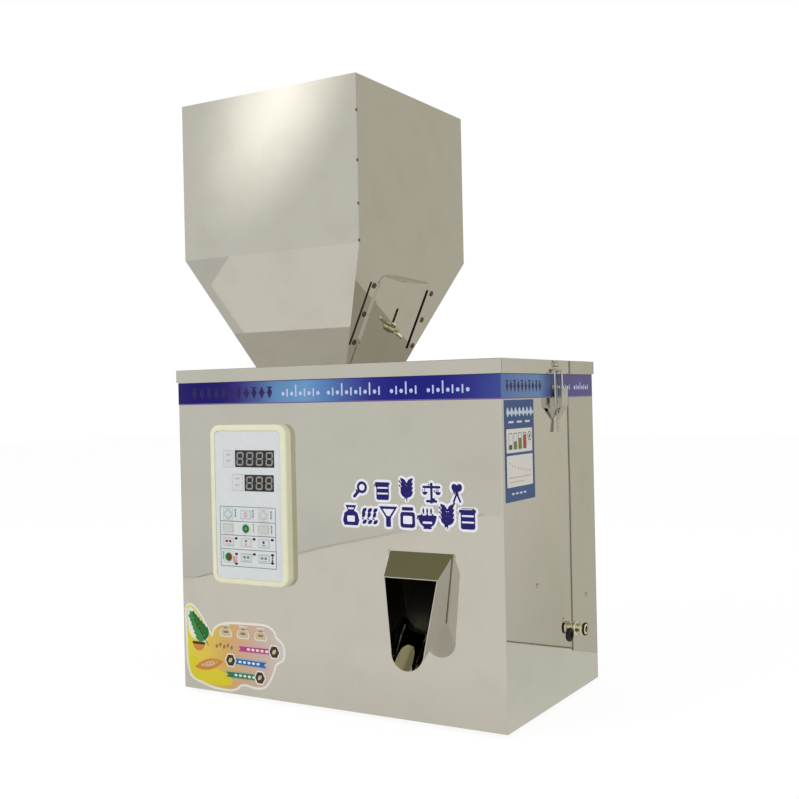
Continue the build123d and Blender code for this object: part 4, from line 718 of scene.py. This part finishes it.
# Label on the right side: blue card with two white panels
lab = inkSet("label", {
    "blue": "#344c74", "paleBlue": "#b6bfca", "darkGreen": "#355a34", "olive": "#6b6f2f", "red": "#9c4234",
    "grey": "#5c6266", "pink": "#b79a92"})
lab["white"] = printedVinyl("labelWhitePaper", "#c9c6bd")
label = []
lay(label, 0, lab["blue"], bar(5.5, 218, 75, 316, 1.5))
for k in range(7):
    u = 14 + 9 * k
    lay(label, 1, lab["paleBlue"], leaf(u, 299.5, 9.5, 5.6, 90, 8), disc(u + 4.4, 303.5, 1.6, 12))
lay(label, 1, lab["paleBlue"], *(bar(15 + 19 * k, 293.6, 27 + 19 * k, 295.6, 0.8) for k in range(3)))
lay(label, 1, lab["white"], bar(10, 265, 70, 288, 1.2), bar(10, 232, 70, 262.4, 1.2))
# upper panel: a row of jars filled to different heights
for k, (level, tone) in enumerate(((4.0, "darkGreen"), (7.0, "olive"), (10.0, "olive"), (13.0, "red"))):
    u = 15 + 11 * k
    lay(label, 2, lab["grey"], bar(u, 268, u + 8, 284, 1.2))
    lay(label, 3, lab["white"], bar(u + 0.8, 268.8, u + 7.2, 283.2, 0.8))
    lay(label, 4, lab[tone], bar(u + 0.8, 268.8, u + 7.2, 268.8 + level, 0.4))
lay(label, 2, lab["grey"], disc(63.6, 280, 4.6, 26))
lay(label, 3, lab["white"], disc(63.6, 280, 3.5, 26))
lay(label, 4, lab["darkGreen"], leaf(61.6, 278, 5.4, 3.0, 45, 8))
# lower panel: a falling curve of dots above a rule
lay(label, 2, lab["pink"], *(disc(16 + 6.6 * k, 255 - 9 * (k / 7) ** 0.6, 1.2, 12) for k in range(8)))
lay(label, 2, lab["pink"], bar(14, 240.6, 66, 241.6), bar(14, 236.4, 50, 237.2))
lay(label, 1, lab["paleBlue"], *(bar(20 + 9 * k, 224.6, 26 + 9 * k, 226.4, 0.7) for k in range(4)))
printPiece("side_chart_label", "right", label)
print("contour sticker and side label are on")

# Keypad prints: digit segments, label boxes, key frames, lamp dots and small marks
pad = inkSet("pad", {
    "white": "#ced0d2", "charcoal": "#2a2e32", "green": "#0c6a28", "mint": "#8fb49b", "red": "#7c2c24",
    "rose": "#c08c90", "teal": "#74a39c", "beige": "#b3a898"})
pad["line"] = printedVinyl("padGreyGreenLine", "#6f807c")
pad["soft"] = printedVinyl("padPaleLine", "#a3aaaf")
pad["black"] = printedVinyl("padLampBlack", "#0e0f11")
pad["segment"] = printedVinyl("unlitSegmentGrey", "#918f8b", 0.4)
segment = {"thick": 1.7, "inset": 0.9, "gap": 0.45, "end": 0.8, "lean": 0.06}
# Each row of digits is (middles along u, middle v, width, height)
digitRows = (((-106.6, -93.4, -80.2, -67.2), 258.3, 9.4, 14.6), ((-94.2, -81.2, -68.4), 232.4, 9.2, 14.2))


def segmentDigit(u, v, wide, tall):
    # Seven bars of an unlit digit; u and v are its middle
    bars = []
    half, thin = tall / 2, segment["thick"] / 2
    for row in (-1, 0, 1):
        y = v + row * (half - thin)
        a, b = u - wide / 2 + segment["inset"], u + wide / 2 - segment["inset"]
        near, far = a + thin, b - thin
        bars.append([(a, y), (near, y - thin), (far, y - thin), (b, y), (far, y + thin), (near, y + thin)])
    for side in (-1, 1):
        x = u + side * (wide / 2 - thin)
        for row in (-1, 1):
            a, b = sorted((v + row * segment["gap"], v + row * (half - segment["end"])))
            near, far = a + thin, b - thin
            bars.append([
                (x, a), (x + thin, near), (x + thin, far), (x, b), (x - thin, far), (x - thin, near)])
    return [[(a + (b - v) * segment["lean"], b) for a, b in outline] for outline in bars]


digits = []
for middles, v, wide, tall in digitRows:
    for u in middles:
        lay(digits, 0, pad["segment"], *segmentDigit(u, v, wide, tall))
printPiece("display_segments", "windows", digits)


def frameShapes(u0, v0, u1, v1, line):
    # A printed frame 0.5 mm wide round a white ground
    thick, corner = 0.5, 0.8
    inner = bar(u0 + thick, v0 + thick, u1 - thick, v1 - thick, corner - thick)
    return [(bar(u0, v0, u1, v1, corner), line, 0), (inner, pad["white"], 1)]


def keyFace(row, column):
    # Middle and half sizes of a key, in the keypad's own millimetres
    low, high = (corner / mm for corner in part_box(f"key_{row}_{column}"))
    return (low.x + high.x) / 2, (low.z + high.z) / 2 - floorLift, (high.x - low.x) / 2, (high.z - low.z) / 2


# What is drawn on each key and round it: edge colour, mark colour and kind
keyMark = {
    (1, 1): ("teal", "white", "ring"), (1, 2): ("soft", "rose", "seed"), (1, 3): ("beige", "white", "ring"),
    (2, 1): ("beige", "beige", "dots"), (2, 2): ("mint", "green", "disc"), (2, 3): ("beige", "beige", "dots"),
    (3, 1): ("rose", "red", "bars"), (3, 2): ("beige", "rose", "tall"), (3, 3): ("soft", "charcoal", "dot"),
    (4, 1): ("mint", "green", "half"), (4, 2): ("teal", "line", "bars"), (4, 3): ("teal", "line", "bars"),
}
labelBoxes = ((-129.6, 248.8, -115.4, 267.4), (-118.2, 223.4, -103.2, 241.8))
labelDashes = ((-122.6, 262.6), (-122.6, 256), (-110.8, 237), (-110.8, 230))
grid = {"left": -135.6, "right": -60.8, "rows": (206.4, 190.6, 175.6, 160.4, 141.9), "half": 0.375}
# Printed round the key and never under it, because the key sinks below the film when pressed
around = {"gap": 0.9, "line": 0.4, "dotsU": 1.7, "dotsV": 2.3, "dot": 0.62}
lampDots = (
    (-114.1, 172.2), (-89.8, 172.3), (-65.6, 172.5), (-114.2, 155.4), (-114.5, 144.9), (-90, 156.1),
    (-65.7, 156.5), (-66, 147.8))
smallMarks = (
    (-114.6, 198.6, "line"), (-90.6, 198.4, "line"), (-66.6, 197.8, "line"), (-90.4, 183.4, "rose"),
    (-66.2, 182.6, "line"), (-132.6, 152.2, "teal"), (-114.3, 150.0, "rose"), (-66.0, 152.0, "charcoal"))

sheet = []
for box in labelBoxes:
    sheet += frameShapes(*box, pad["soft"])
for u, v in labelDashes:
    lay(sheet, 2, pad["soft"], *(bar(a, v - 1.1, a + 2.0, v + 1.1, 0.6) for a in (u - 2.6, u + 0.4)))
for v in grid["rows"]:
    lay(sheet, 0, pad["line"], bar(grid["left"], v - grid["half"], grid["right"], v + grid["half"]))
for u in (grid["left"], grid["right"]):
    lay(sheet, 0, pad["line"], bar(u - grid["half"], grid["rows"][-1], u + grid["half"], grid["rows"][0]))
for (row, column), (edge, _, kind) in keyMark.items():
    u, v, wide, tall = keyFace(row, column)
    reachU, reachV = wide + around["gap"], tall + around["gap"]
    if kind in ("ring", "half"):
        for way in (-1, 1):
            a, b = sorted((u + way * reachU, u + way * (reachU + around["line"])))
            c, d = sorted((v + way * reachV, v + way * (reachV + around["line"])))
            lay(sheet, 0, pad[edge], bar(a, v - reachV, b, v + reachV), bar(u - reachU, c, u + reachU, d))
    if kind == "dots":
        for i in range(-4, 5):
            for k in range(-3, 4):
                a, b = around["dotsU"] * i + (0.8 if k % 2 else 0), around["dotsV"] * k
                if abs(a) > wide + 1.0 or abs(b) > tall + 1.0:
                    lay(sheet, 0, pad["beige"], disc(u + a, v + b, around["dot"], 8))
    if kind == "half":
        lay(sheet, 2, pad["rose"], bar(u + wide + 0.6, v - tall - 1.0, u + wide + 3.6, v + 1.0, 0.8))
lay(sheet, 1, pad["black"], *(disc(u, v, 2.1, 18, 0.62) for u, v in lampDots))
for u, v, tone in smallMarks:
    for k in range(3):
        low = v + 3.4 - 3.0 * k
        lay(sheet, 1, pad[tone], bar(u - 1.0 + 0.4 * (k % 2), low, u + 1.1, low + 1.8, 0.5))
    lay(sheet, 1, pad[tone], bar(u - 0.35, v - 4.0, u + 0.35, v + 4.6))
printPiece("keypad_print", "keypad", sheet, film=0.03)

for (row, column), (edge, tone, kind) in keyMark.items():
    u, v, wide, tall = keyFace(row, column)
    if kind in ("ring", "disc"):
        rings = ((0.3, edge, 36), (1.0, tone, 36), (2.2, "soft", 30), (2.7, "white", 30))
        if kind == "disc":
            rings = rings[:2] + ((wide - 1.5, "mint", 20), (wide - 0.9, tone, 16))
        marks = [(disc(u, v, wide - inset, count), pad[name], layer)
                 for layer, (inset, name, count) in enumerate(rings)]
    elif kind == "half":
        reach = wide - 1.0
        greenHalf = [(u - reach * sin(pi * i / 16), v - reach * cos(pi * i / 16)) for i in range(17)]
        marks = [(disc(u, v, wide - 0.3, 36), pad[edge], 0)]
        marks += [(greenHalf, pad["green"], 1), ([(2 * u - a, b) for a, b in greenHalf], pad["red"], 1)]
    else:
        marks = frameShapes(u - wide + 0.5, v - tall + 0.5, u + wide - 0.5, v + tall - 0.5, pad[edge])
    if kind == "dots":
        lay(marks, 2, pad["beige"], *(
            disc(u + 1.5 * i, v + 2.4 * k + (0.9 if i % 2 else 0), 0.6, 8)
            for i in range(-4, 5) for k in (-1, 0, 1)))
    if kind == "bars":
        for a in (u - 2.4, u + 2.4):
            lay(marks, 2, pad[tone], bar(a - 1.7, v - 0.6, a + 1.7, v + 2.0, 0.5))
        lay(marks, 2, pad["soft"], bar(u - 3.8, v - 2.9, u + 3.8, v - 2.2))
    if kind == "tall":
        lay(marks, 2, pad[tone], bar(u - 1.0, v - 3.2, u + 1.0, v - 0.6, 0.4))
        lay(marks, 2, pad["line"], bar(u - 1.6, v + 0.6, u + 1.6, v + 2.8, 0.4))
    if kind == "dot":
        lay(marks, 2, pad[tone], disc(u, v + 1.2, 1.5, 16), bar(u - 2, v - 2.4, u + 2, v - 1.7, 0.3))
    if kind == "seed":
        lay(marks, 2, pad[tone], disc(u, v, 2.3, 20, 1.25))
        lay(marks, 3, pad["white"], disc(u, v, 1.3, 16, 1.25))
    printPiece(f"key_print_{row}_{column}", "keys", marks, body=f"button_{row}_{column}", film=0.03)
print("keypad is printed")


# Camera, table, studio and lamps, in metres

shot = {"place": (0.6470, -1.0485, 0.3265), "yaw": 30.601, "pitch": -0.155, "roll": -1.242, "lens": 49.738}


def setCamera():
    yaw, pitch, roll = (radians(shot[name]) for name in ("yaw", "pitch", "roll"))
    forward = Vector((-sin(yaw) * cos(pitch), cos(yaw) * cos(pitch), sin(pitch)))
    right = Vector((cos(yaw), sin(yaw), 0))
    up = right.cross(forward)
    across = cos(roll) * right + sin(roll) * up
    above = -sin(roll) * right + cos(roll) * up
    data = bpy.data.cameras.new("photoCamera")
    data.lens = shot["lens"]
    data.sensor_width = 36.0
    data.clip_end = 50.0
    camera = linked("photoCamera", data)
    turn = Matrix((across, above, -forward)).transposed().to_4x4()
    camera.matrix_world = Matrix.Translation(Vector(shot["place"])) @ turn
    bpy.context.scene.camera = camera


setCamera()
plainWhite = (1, 1, 1, 1)
studio = {
    "fill": 0.66, "tableWhite": 0.86, "tableGlow": 0.9, "tableRest": 0.13,
    "tableTones": ("#f0eee6", "#dadbcf"), "toneFrom": -0.35, "toneTo": 0.12, "floorReach": 7.0}


def seenDirectly(tree):
    # 1 for rays that come from the camera, a mirror or glass
    path = addNode(tree, "ShaderNodeLightPath")
    first = calculated(tree, "MAXIMUM", path.outputs["Is Camera Ray"], path.outputs["Is Glossy Ray"])
    return calculated(tree, "MAXIMUM", first, path.outputs["Is Transmission Ray"])


world = bpy.data.worlds.new("whiteStudio")
bpy.context.scene.world = world
world.use_nodes = True
tree = world.node_tree
tree.nodes.clear()
fill, white = (
    addNode(tree, "ShaderNodeBackground", {"Color": plainWhite, "Strength": strength}).outputs[0]
    for strength in (studio["fill"], 1.0))
mixed = addNode(tree, "ShaderNodeMixShader", {0: seenDirectly(tree), 1: fill, 2: white})
addNode(tree, "ShaderNodeOutputWorld", {"Surface": mixed.outputs[0]})


def stageMesh(name, points, faces, material, hiddenFrom=("camera", "diffuse", "transmission", "shadow")):
    # Most of the stage is seen by nothing but the polished sheet
    mesh = bpy.data.meshes.new(name)
    mesh.from_pydata(points, [], faces)
    mesh.materials.append(material)
    piece = linked(name, mesh)
    for ray in hiddenFrom:
        setattr(piece, f"visible_{ray}", False)


def glowing(tree, colour, strength=1.0):
    return addNode(tree, "ShaderNodeEmission", {"Color": colour, "Strength": strength})


def matt(tree, grey):
    return addNode(tree, "ShaderNodeBsdfDiffuse", {"Color": (grey, grey, grey, 1)}).outputs[0]


# Pale table: white to the eye and nearly white in the steel, with a soft shadow under the machine
tableTop, tree = newMaterial("paleMattTable")
isCamera = addNode(tree, "ShaderNodeLightPath").outputs["Is Camera Ray"]
split = addNode(tree, "ShaderNodeSeparateXYZ", {"Vector": objectPlace(tree)})
behind = remapped(tree, split.outputs["Y"], 0.0, 1.0, studio["toneFrom"], studio["toneTo"])
mirrorTone = rampColour(tree, behind, list(enumerate(studio["tableTones"])))
glow = glowing(tree, mixedColour(tree, isCamera, mirrorTone, plainWhite), studio["tableGlow"])
pale = addNode(tree, "ShaderNodeAddShader", {0: matt(tree, studio["tableRest"]), 1: glow.outputs[0]})
setSurface(tree, addNode(tree, "ShaderNodeMixShader", {
    0: seenDirectly(tree), 1: matt(tree, studio["tableWhite"]), 2: pale.outputs[0]}))
# The wide floor is what the eye sees; the table with its edges is what the polished sheet shows
reach = studio["floorReach"]
floorCorners = [(-reach, -reach, 0), (reach, -reach, 0), (reach, reach, 0), (-reach, reach, 0)]
stageMesh("pale_floor", floorCorners, [(0, 1, 2, 3)], tableTop, ["glossy"])
table = {
    "back": 0.270, "edge": [
        (-0.645, -1.867), (-0.686, -1.853), (-0.727, -1.195), (-0.721, -1.064), (-0.719, -0.73),
        (-0.743, -0.708), (-0.748, -0.617), (-0.618, -0.499), (-0.40, -0.30)],
    "far": [(2.4, -1.2), (1.9, -2.4), (0.6, -2.3)]}
tableCorners = table["edge"] + [(-0.40, table["back"]), (1.70, table["back"])] + table["far"]
stageMesh("pale_table", [(x, y, 0.0) for x, y in tableCorners], [list(range(len(tableCorners)))], tableTop)

# Dark edging of the table, which draws the fine line across the polished front
edging, tree = newMaterial("tableEdging")
setSurface(tree, glowing(tree, linearColour("#7d786a")))
# It follows the first six corners of the table's edge, and then its back
trim = {"wide": 0.006, "lift": 0.0005, "back": 0.0025, "backFrom": 0.2, "backTo": 1.6}
points = []
for x, y in table["edge"][:6]:
    points += [(x - trim["wide"], y, trim["lift"]), (x, y, trim["lift"])]
faces = [(2 * i, 2 * i + 1, 2 * i + 3, 2 * i + 2) for i in range(5)]
low, high, left, right = (trim[key] for key in ("lift", "back", "backFrom", "backTo"))
points += [(x, table["back"] - 0.001, z) for x, z in ((left, low), (right, low), (right, high), (left, high))]
faces.append((12, 13, 14, 15))
stageMesh("table_edging", points, faces, edging)

# Studio shell: pale walls, a dim olive ceiling, one soft window, seen only in the polished sheet
shell = {
    "radius": 3.5, "rings": 40, "steps": 96, "low": -1.0, "olive": (1.0, 0.96, 0.55, 1), "oliveFrom": 0.72,
    "oliveTo": 0.86,
    "walls": [
        (0.0, "#e3e3dd"), (0.12, "#e6e6e0"), (0.20, "#e6e5de"), (0.27, "#efefec"), (0.40, "#efefec"),
        (0.55, "#dcdad2"), (0.655, "#e0ddd4"), (0.671, "#d9d6cb"), (0.678, "#d2cfc0"), (0.82, "#d9d6cc"),
        (1.0, "#e3e3dd")],
    "heights": [
        (0.0, 0.85), (0.12, 0.92), (0.20, 1.0), (0.62, 1.0), (0.67, 1.15), (0.74, 1.1), (0.86, 0.44),
        (1.0, 0.40)],
    "corner": [(0.0, 0.6), (0.10, 0.6), (0.16, 1.0), (0.90, 1.0), (0.97, 0.6), (1.0, 0.6)]}
shellTone, tree = newMaterial("paleStudioShell")
split = addNode(tree, "ShaderNodeSeparateXYZ", {"Vector": objectPlace(tree)})
azimuth = calculated(tree, "ARCTAN2", split.outputs["Y"], split.outputs["X"])
turn = remapped(tree, azimuth, 0.0, 1.0, -pi, pi)
rise = remapped(tree, split.outputs["Z"], 0.0, 1.0, shell["low"], shell["radius"])
olive = remapped(tree, rise, 0.0, 1.0, shell["oliveFrom"], shell["oliveTo"])
walls, corner = rampColour(tree, turn, shell["walls"]), rampColour(tree, turn, shell["corner"])
room = mixedColour(tree, 1.0, walls, rampColour(tree, rise, shell["heights"]), "MULTIPLY")
room = mixedColour(tree, 1.0, room, mixedColour(tree, olive, plainWhite, shell["olive"]), "MULTIPLY")
# The far left of the ceiling is a dark corner, which the chute's sloping top shows
room = mixedColour(tree, 1.0, room, mixedColour(tree, olive, plainWhite, corner), "MULTIPLY")
# The window is a slanted soft oval; its place is an angle and a height on the shell
window = {
    "turn": radians(-125.9), "height": 1.52, "lean": radians(-29), "along": 0.66, "across": 0.30,
    "power": 1.1}
aside = calculated(tree, "MULTIPLY", calculated(tree, "ADD", azimuth, -window["turn"]), shell["radius"])
above = calculated(tree, "ADD", split.outputs["Z"], -window["height"])
flat = addNode(tree, "ShaderNodeCombineXYZ", {"X": aside, "Y": above})
leaning = addNode(tree, "ShaderNodeMapping", {
    "Vector": flat.outputs[0], "Rotation": (0, 0, window["lean"])}, vector_type="TEXTURE")
oval = stretched(tree, leaning.outputs[0], (1 / window["across"], 1 / window["along"], 1))
distance = addNode(tree, "ShaderNodeVectorMath", {0: oval}, operation="LENGTH").outputs["Value"]
halo = remapped(tree, distance, 1.0, 0.0, interpolation_type="SMOOTHSTEP")
setSurface(tree, glowing(tree, room, calculated(tree, "MULTIPLY_ADD", halo, window["power"], 1.0)))
radius, rings, steps = (shell[key] for key in ("radius", "rings", "steps"))
points = []
faces = []
for ring in range(rings + 1):
    up = -pi / 2 + pi * ring / rings
    points += [(radius * cos(up) * c, radius * cos(up) * s, radius * sin(up)) for c, s in circle(steps)]
for ring in range(rings):
    for step in range(steps):
        a, b = ring * steps + step, ring * steps + (step + 1) % steps
        faces.append((a, b, b + steps, a + steps))
stageMesh("studio_shell", points, faces, shellTone)

# Upright board behind the machine: the fine upright line in the polished right side is its edge
board = {"left": -0.9, "right": 0.2795, "top": 1.6, "back": 0.262, "edge": 0.0022}
boardTone, tree = newMaterial("paleBackBoard")
setSurface(tree, glowing(tree, linearColour("#cac7b8")))


def uprightSheet(name, left, right, back, material):
    corners = [(left, back, 0), (right, back, 0), (right, back, board["top"]), (left, back, board["top"])]
    stageMesh(name, corners, [(0, 1, 2, 3)], material)


uprightSheet("back_board", board["left"], board["right"], board["back"], boardTone)
uprightSheet("board_edging", board["right"], board["right"] + board["edge"], board["back"] - 0.001, edging)


def softLamp(name, place, target, size, power):
    data = bpy.data.lights.new(name, "AREA")
    data.shape = "RECTANGLE"
    data.size, data.size_y = size
    data.energy = power
    lamp = linked(name, data)
    lamp.location = place
    lamp.rotation_euler = (Vector(target) - Vector(place)).to_track_quat("-Z", "Y").to_euler()
    lamp.visible_glossy = False


softLamp("keyLamp", (-1.2, -1.9, 1.7), (0, 0, 0.3), (1.4, 1.0), 20)
softLamp("sideLamp", (2.2, -0.6, 1.3), (0.1, 0, 0.3), (1.2, 1.2), 14)
bpy.context.scene.view_settings.view_transform = "Standard"
print("camera, table, studio and lamps are set")
